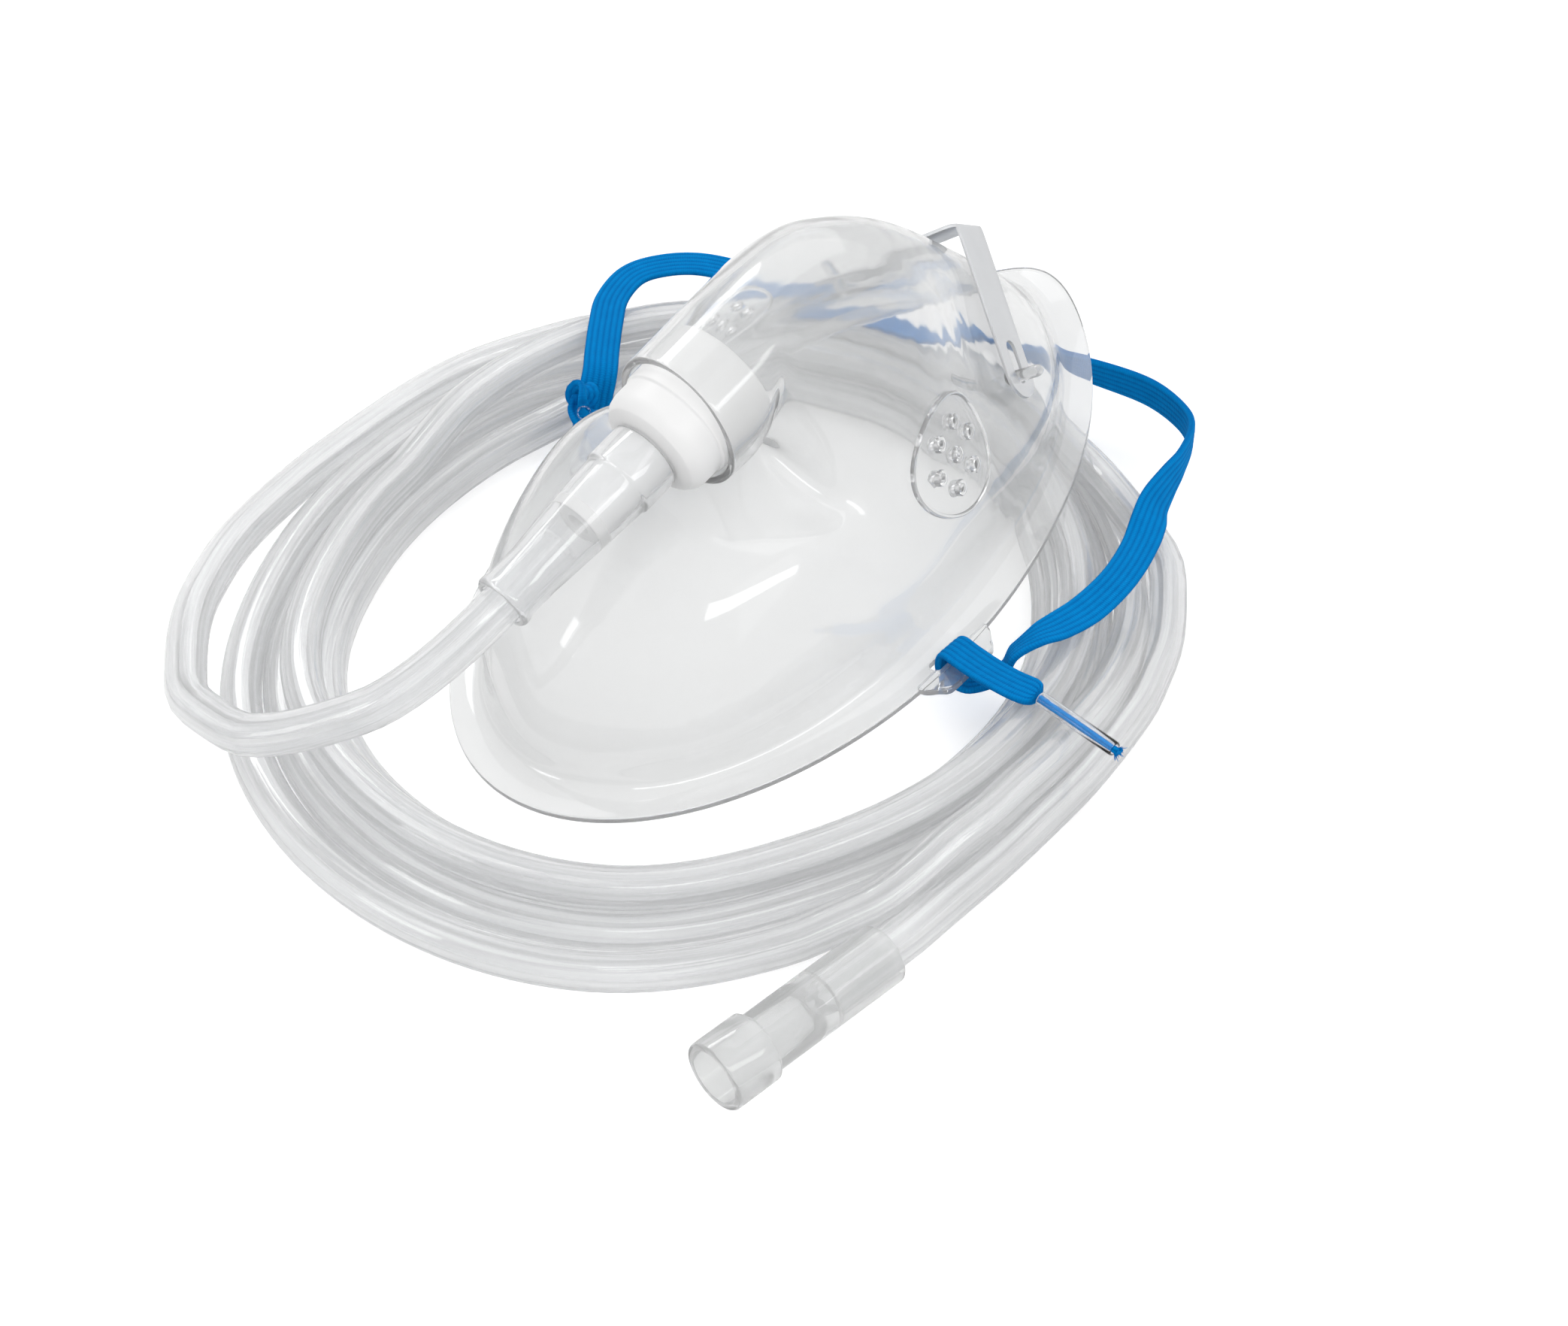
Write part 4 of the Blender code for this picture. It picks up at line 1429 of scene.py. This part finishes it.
        shell = self.sheet("mask_shell_clear", self.smoothing)
        wall = shell.modifiers.new("wall", "SOLIDIFY")
        wall.thickness = self.wall
        wall.offset = -1
        bevelled(shell, self.edge_round, 3, 60)
        add_boolean(shell, pad, "UNION")
        add_boolean(shell, extra, "UNION")
        add_boolean(shell, hole, "DIFFERENCE")
        shell.matrix_world = mask_pose()
        for helper in (pad, disc, extra, hole):
            helper.matrix_world = mask_pose()
        shell = applied(shell, 38)
        self.mark_ripples(shell, surface)
        for helper in (pad, disc, extra, hole):
            bpy.data.objects.remove(helper, do_unlink=True)
        shell.data.materials.clear()
        shell.data.materials.append(CLEAR_SHELL.made())
        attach(shell, BODY)
        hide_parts("mask_shell")
        LOG.info("mask shell: %d faces", len(shell.data.polygons))
        return shell


# Nose clip


@dataclass
class NoseClip:
    """The bent metal strip over the nose, held by the shell's pegs."""

    apex_share: Point = (0.0, 0.7207, 0.5767)
    end_share: Point = (0.4988, 0.565, 0.3317)
    across: Point = (0.0, 0.77, -0.64)
    half_width: float = 4.0 * MM
    thickness: float = 0.6 * MM
    past_peg: float = 4.0 * MM
    slot_r: float = 1.45 * MM
    slot_reach: float = 5.0 * MM
    cut_reach: float = 3.0 * MM
    end_turns: tuple[int, ...] = (10, 24, 38, 52, 70, 90)
    # Distances from the round end, then distance from the apex and drop for the bend, in millimetres
    straight: tuple[int, ...] = (8, 12, 18, 24)
    bend: tuple[tuple[float, float], ...] = ((3.0, 0), (2.1, 0.02), (1.3, 0.1), (0.6, 0.28))
    bend_drop: float = 0.5 * MM

    def rows(self, shell: MaskShell) -> list[Row]:
        """Loops along the bent strip, with round ends, from the +X end to the -X end.

        Args:
            shell: The shell whose form places it.

        Returns:
            The loops.
        """
        apex, end = shell.form_place(self.apex_share), shell.form_place(self.end_share)
        leg = (end - apex).normalized()
        length = (end - apex).length + self.past_peg
        across = Vector(self.across).normalized()
        right = []
        for degrees in self.end_turns:
            turn = math.radians(degrees)
            short = self.half_width * (1 - math.cos(turn))
            right.append((apex + leg * (length - short), math.sin(turn)))
        for short in self.straight:
            right.append((apex + leg * (length - short * MM), 1.0))
        right += [(apex + leg * far * MM - Vector((0, 0, drop * MM)), 1.0) for far, drop in self.bend]
        middle = (apex - Vector((0, 0, self.bend_drop)), 1.0)
        left = [(Vector((-p.x, p.y, p.z)), share) for p, share in reversed(right)]
        stations = [*right, middle, *left]
        rows = []
        for i, (place, share) in enumerate(stations):
            before = stations[max(i - 1, 0)][0]
            after = stations[min(i + 1, len(stations) - 1)][0]
            outward = across.cross((after - before).normalized()).normalized()
            wide = across * self.half_width * share
            rise = outward * self.thickness / 2
            rows.append([place + wide + rise, place - wide + rise, place - wide - rise, place + wide - rise])
        return rows

    def slot_outline(self) -> list[tuple[float, float]]:
        """A slot with round ends, its lower end's centre at the origin.

        Returns:
            The outline's corners.
        """
        points = []
        for base, first in ((self.slot_reach, 0), (0.0, 180)):
            for step in range(13):
                turn = math.radians(first + 15 * step)
                points.append((self.slot_r * math.cos(turn), base + self.slot_r * math.sin(turn)))
        return points

    def build(self, shell: MaskShell) -> bpy.types.Object:
        """Makes the clip.

        Args:
            shell: The shell whose form places it.

        Returns:
            The clip.
        """
        clip = loose("nose_clip_strip", lofted("nose_clip_strip", self.rows(shell), close_ends=True))
        end = shell.form_place(self.end_share)
        leg = (shell.form_place(self.apex_share) - end).normalized()
        outward = leg.cross(Vector(self.across)).normalized()
        outward = outward if outward.z > 0 else -outward
        turn = Matrix((leg.cross(outward), leg, outward)).transposed().to_4x4()
        slot = Matrix.Translation(end) @ turn
        outline = self.slot_outline()
        slots = MaskShell.both_sides(lambda f: prism(outline, -self.cut_reach, self.cut_reach, f), slot)
        cut = loose("clip_slots", joined_mesh("clip_slots", slots))
        add_boolean(clip, cut, "DIFFERENCE")
        bevelled(clip, 0.1 * MM, 2, 50)
        clip.matrix_world = mask_pose()
        cut.matrix_world = mask_pose()
        clip = applied(clip, 30)
        bpy.data.objects.remove(cut, do_unlink=True)
        clip.data.materials.append(METAL.made())
        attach(clip, BODY)
        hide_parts("nose_clip")
        LOG.info("nose clip: %d faces", len(clip.data.polygons))
        return clip


# Connectors


@dataclass
class TurnedPiece:
    """A connector turned about an axis, from a closed profile of radius and height in millimetres."""

    name: str
    node: str
    slot: str
    profile: tuple[tuple[float, float], ...]
    edge: float = 0.15 * MM
    segments: int = 96

    def build(self, place: Matrix, finish: ClearPlastic | WhitePlastic) -> bpy.types.Object:
        """Makes the connector.

        Args:
            place: Frame whose Z is its axis.
            finish: What it is made of.

        Returns:
            The connector.
        """
        rows = turned_rows(self.profile, place, self.segments)
        mesh = lofted(self.name, [*rows, rows[0]], joined=True)
        piece = shown(self.name, mesh)
        bevelled(piece, self.edge, 3, 30)
        piece = applied(piece, 30)
        piece.data.materials.append(finish.made())
        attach(piece, BODY)
        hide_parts(self.node)
        LOG.info("%s: %d faces", self.name, len(piece.data.polygons))
        return piece


INLET = TurnedPiece(
    "inlet_connector_white", "inlet_connector", "white_plastic",
    ((3.1, 23.9), (4.5, 23.9), (4.75, 15), (4.8, 7.1), (7, 7.1), (8.7, 6.4), (9.6, 5.2), (9.9, 3.8), (9.9, 0.6),
     (10.3, 0.3), (10.3, -10.4), (10.1, -11.2), (9.2, -11.2), (8.4, 3.5), (6.5, 5), (2, 6), (2, 23.9)),
)
CUFF = TurnedPiece(
    "tube_cuff_clear", "tube_cuff", "clear_pvc",
    ((4.65, 41.7), (5.0, 41.2), (5.0, 40.4), (4.7, 39.6), (4.75, 34), (5.4, 24.5), (5.9, 16.4), (6, 14.7),
     (6.35, 14.3), (6.35, 7.6), (5.15, 7.6), (5.15, 15.3), (4.9, 20), (3.9, 25.5), (3.9, 41.7)),
)
SUPPLY = TurnedPiece(
    "supply_connector_clear", "supply_connector", "clear_pvc",
    ((4.75, 34.9), (5.05, 34.5), (5.05, 20), (5.05, 9), (5.9, 8.4), (5.9, 0.4), (5.7, 0), (4.7, 0), (4.2, 16.2),
     (3.7, 17.2), (3.1, 18.6), (2.9, 19.6), (2.9, 21.8), (3.9, 22), (3.9, 34.9)),
)


@dataclass
class SupplyEnd:
    """The connector at the tube's far end."""

    top: Point = (71.2, -63.2, 5.95)
    mouth: Point = (67.6, -97.9, 5.95)

    def frame(self) -> Matrix:
        """A frame at the mouth with Z towards the tube."""
        mouth, top = shifted([self.mouth, self.top])
        return facing(mouth, top - mouth)


# Head strap


@dataclass
class HeadStrap:
    """The ribbed elastic strap with its two sleeved tips."""

    half_width: float = 3.2 * MM
    half_thickness: float = 0.5 * MM
    ribs: int = 6
    rib_rise: float = 0.14 * MM
    per_span: int = 8
    tip_r: float = 1.25 * MM
    tip_wall: float = 0.28 * MM
    tip_length: float = 15.8 * MM
    core_r: float = 0.62 * MM
    hairs: int = 34
    hair_length: tuple[float, float] = (0.5, 1.3)
    end_share: float = 0.7
    end_swell: float = 0.9
    near_tip: tuple[Point, Point] = ((60.8, -12, 15), (76.4, -13, 15))
    far_tip: tuple[Point, Point] = ((-42.6, -11.2, 16.2), (-32.6, -20.7, 28))
    # Place and direction across the strap, from the near tip through both ears to the far tip
    route: tuple[tuple[Point, Point], ...] = (
        ((60.2, -11.9, 15), (0, 1, 0.3)), ((58.4, -11.9, 14.9), (0, 1, 0.1)), ((55, -12, 14.4), (0.1, 1, 0)),
        ((49.5, -11.3, 13.2), (0.15, 1, 0)), ((44.5, -10.3, 12.2), (0.1, 1, 0)), ((41, -9.6, 11.6), (0, 1, 0)),
        ((39.9, -9.5, 10.2), (0, 1, 0)), ((39.9, -9.5, 7.8), (0, 1, 0)), ((41, -9.3, 6.3), (0, 1, 0)),
        ((44.4, -8.2, 5.1), (-0.2, 1, 0)), ((48, -5.6, 7.3), (-0.5, 0.8, -0.2)),
        ((49.4, -4, 12), (-0.6, 0.6, -0.5)), ((51.4, -1, 14.7), (-0.75, 0.5, -0.3)),
        ((52.8, 3, 15), (-1, 0.2, -0.05)),
        ((53.7, 9.4, 14.7), (-1, 0, 0.1)), ((53.5, 16.6, 14.6), (-1, 0, 0.05)), ((52.5, 22.7, 14.6), (-1, -0.2, 0)),
        ((50.7, 28.8, 14.6), (-1, -0.3, 0)), ((48.6, 33.8, 14.8), (-1, -0.4, 0.3)),
        ((46.5, 38.4, 14.8), (-0.8, -0.3, 0.8)), ((44.8, 44.7, 14.5), (-0.4, -0.1, 1)),
        ((43.3, 50.6, 14.2), (-0.1, 0, 1)), ((40.1, 57.8, 13.6), (0, 0, 1)), ((35.2, 61.6, 13), (0, 0, 1)),
        ((26.8, 63.8, 12.3), (0, 0, 1)), ((17, 62.4, 12), (0, -0.1, 1)), ((7, 58.7, 12.6), (0.1, -0.4, 1)),
        ((-4, 54.5, 13), (0.2, -0.8, 0.7)), ((-15, 50.4, 12.8), (0.3, -1, 0.2)), ((-27, 46.2, 12.8), (0.35, -1, 0)),
        ((-40, 42, 13), (0.3, -1, 0)), ((-50, 39.3, 13.8), (0.3, -1, 0)), ((-57.5, 35.6, 14.4), (0.7, -1, 0)),
        ((-62.5, 30.5, 14.5), (1, -0.7, 0)), ((-64.8, 24.5, 14.5), (1, -0.1, 0)), ((-62.8, 17, 14.6), (1, 0.5, 0)),
        ((-58.3, 10.6, 14.9), (1, 0.8, 0)), ((-53.3, 4.4, 14.9), (0.9, 0.9, 0)), ((-50, 0.4, 14.2), (0.8, 0.9, 0)),
        ((-48.4, -2.8, 11), (0.7, 0.8, -0.1)), ((-47, -5.8, 7.4), (0.4, 0.9, -0.1)),
        ((-44.6, -8.2, 5.8), (0.1, 1, 0)), ((-41.4, -9.3, 6), (0, 1, 0)), ((-39.9, -9.5, 7.8), (0, 1, 0)),
        ((-39.9, -9.5, 10.2), (0, 1, 0)), ((-41, -9.6, 12.2), (0, 1, 0)), ((-43.6, -9.4, 13), (-0.1, 1, -0.1)),
        ((-46.4, -8.2, 13.4), (-0.3, 0.8, -0.3)), ((-47.8, -6.8, 14.5), (-0.4, 0.7, -0.5)),
        ((-46.7, -7.3, 15.8), (-0.5, 0.6, -0.6)), ((-45, -9, 15.9), (-0.5, 0.5, -0.6)),
        ((-43.8, -10.1, 15.9), (-0.5, 0.5, -0.6)),
    )

    def section(self) -> list[tuple[float, float, float]]:
        """The ribbed section, once round.

        Returns:
            Share across, height and rib strength of each point.
        """
        per_rib = 5
        count = self.ribs * per_rib
        top = []
        for i in range(count + 1):
            share = -1 + 2 * i / count
            crest = abs(math.sin(math.pi * i / per_rib))
            edge = math.sqrt(max(0.0, 1 - abs(share) ** 8))
            top.append((share, (self.half_thickness * edge + self.rib_rise * crest * edge), crest))
        bottom = [(share, -height, crest) for share, height, crest in reversed(top[1:-1])]
        return top + bottom

    def build_band(self) -> tuple[bpy.types.Object, Row]:
        """Makes the strap, with its rib and length kept on the mesh.

        Returns:
            The strap and its middle line.
        """
        places = smooth_route(shifted([place for place, _ in self.route]), self.per_span)
        sides = smooth_route([Vector(side).normalized() for _, side in self.route], self.per_span)
        section = self.section()
        last = len(places) - 1
        taper = 2 * self.per_span
        rows, ribs, alongs, far = [], [], [], 0.0
        for i, place in enumerate(places):
            along = (places[min(i + 1, last)] - places[max(i - 1, 0)]).normalized()
            side = (sides[i] - along * sides[i].dot(along)).normalized()
            outward = along.cross(side)
            near_end = min(1.0, min(i, last - i) / taper)
            rounding = math.sqrt(1 - (1 - near_end) ** 2)
            narrow = self.tip_r * self.end_share
            half = narrow + (self.half_width - narrow) * rounding
            thick = 1 + self.end_swell * (1 - rounding)
            rows.append([place + side * share * half + outward * height * thick for share, height, _ in section])
            ribs += [crest for _, _, crest in section]
            if i:
                far += (place - places[i - 1]).length
            alongs += [far] * len(section)
        mesh = lofted("head_strap_elastic", rows, close_ends=True)
        # The rib strength also paints the elastic lighter on the crests and darker between them, as light and shade.
        mesh.attributes.new("rib", "FLOAT", "POINT").data.foreach_set("value", ribs)
        mesh.attributes.new("along", "FLOAT", "POINT").data.foreach_set("value", alongs)
        return shown("head_strap_elastic", mesh, 60), places

    def sleeve(self, name: str, place: Matrix) -> bpy.types.Object:
        """One clear sleeve, open at both ends.

        Args:
            name: The piece's name.
            place: Frame at its start.

        Returns:
            The sleeve.
        """
        r, wall, length = self.tip_r / MM, self.tip_wall / MM, self.tip_length / MM
        near = ((r, 0.15), (r - 0.1, 0), (r - wall, 0))
        profile = (*near, (r - wall, length), (r - 0.1, length), (r, length - 0.15))
        rows = turned_rows(profile, place, 40)
        return shown(name, lofted(name, [*rows, rows[0]], joined=True))

    def core(self, name: str, place: Matrix, seed: int) -> bpy.types.Object:
        """The folded elastic inside a sleeve, with a frayed end.

        Args:
            name: The piece's name.
            place: Frame at its start.
            seed: Of the loose hairs.

        Returns:
            The core.
        """
        chance = random.Random(seed)
        rows, ribs, alongs = [], [], []
        around, count = 24, 60
        for i in range(count + 1):
            far = self.tip_length * i / count + 0.9 * MM * (i / count) ** 3
            end = max(0.0, (i - count * 0.965) / (count * 0.035))
            grow = 1 + 0.35 * end
            row = []
            for j in range(around):
                turn = 2 * math.pi * j / around
                fold = 1 + 0.16 * math.cos(3 * turn + 0.5) + 0.05 * math.sin(7 * turn + 0.15 * i)
                r = self.core_r * fold * grow
                row.append(place @ Vector((1.15 * r * math.cos(turn), 0.85 * r * math.sin(turn), far)))
                # Rib strength round the core, painted lighter on crests and darker between them as light and shade.
                ribs.append(0.5 + 0.5 * math.cos(6 * turn))
                alongs.append(far)
            rows.append(row)
        mesh = lofted(name, rows, close_ends=True)
        mesh.attributes.new("rib", "FLOAT", "POINT").data.foreach_set("value", ribs)
        mesh.attributes.new("along", "FLOAT", "POINT").data.foreach_set("value", alongs)
        bm = bmesh.new()
        bm.from_mesh(mesh)
        for _ in range(self.hairs):
            turn = chance.uniform(0, 2 * math.pi)
            r = chance.uniform(0.1, 0.75) * MM
            lean = Vector((math.cos(turn), math.sin(turn), chance.uniform(0.3, 1.6)))
            root = place @ Vector((r * math.cos(turn), r * math.sin(turn), self.tip_length + 0.45 * MM))
            hair = facing(root, place.to_3x3() @ lean, Vector((0.1, 0.3, 1)))
            length = chance.uniform(*self.hair_length) * MM
            matrix = hair @ Matrix.Translation((0, 0, length / 2))
            bmesh.ops.create_cone(
                bm, cap_ends=True, segments=5, radius1=0.09 * MM, radius2=0.03 * MM, depth=length, matrix=matrix
            )
        bm.to_mesh(mesh)
        bm.free()
        return shown(name, mesh, 60)

    def build(self) -> bpy.types.Object:
        """Returns:
            The strap.
        """
        band, places = self.build_band()
        blue = BLUE.made()
        clear = CLEAR_SLEEVE.made()
        band.data.materials.append(blue)
        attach(band, BODY)
        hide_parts("head_strap")
        tips = []
        for name, ends, node, seed in (
            ("near", self.near_tip, "strap_tip_near", 3),
            ("far", self.far_tip, "strap_tip_far", 8),
        ):
            start, end = shifted(list(ends))
            place = facing(start, end - start, Vector((0.0, 0.3, 1)))
            sleeve = self.sleeve(f"strap_sleeve_{name}", place)
            core = self.core(f"strap_core_{name}", place, seed)
            sleeve.data.materials.append(clear)
            core.data.materials.append(blue)
            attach(sleeve, BODY)
            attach(core, BODY)
            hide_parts(node)
            tips += [sleeve, core]
        length = route_length(places)
        LOG.info("head_strap_elastic: %.3f m", length)
        return band


def main() -> None:
    """Builds the scene: camera first, then the cords, then the mask and its connectors."""
    logging.basicConfig(level=logging.INFO, format="%(message)s")
    studio = Studio()
    studio.camera()
    shell = MaskShell()
    collar = shell.collar_frame()
    supply = SupplyEnd().frame()
    connector = SUPPLY.build(supply, CLEAR_SUPPLY)
    SupplyTube().build(collar, supply, connector)
    HeadStrap().build()
    shell.build()
    NoseClip().build(shell)
    INLET.build(collar, WHITE)
    CUFF.build(collar, CLEAR_CUFF)
    studio.floor()
    studio.world()
    for lamp in LAMPS:
        studio.light(lamp)
    view = bpy.context.scene.view_settings
    view.view_transform = "Standard"
    cycles = bpy.context.scene.cycles
    cycles.max_bounces = 32
    cycles.transmission_bounces = 32
    cycles.transparent_max_bounces = 64


if __name__ == "__main__":
    main()
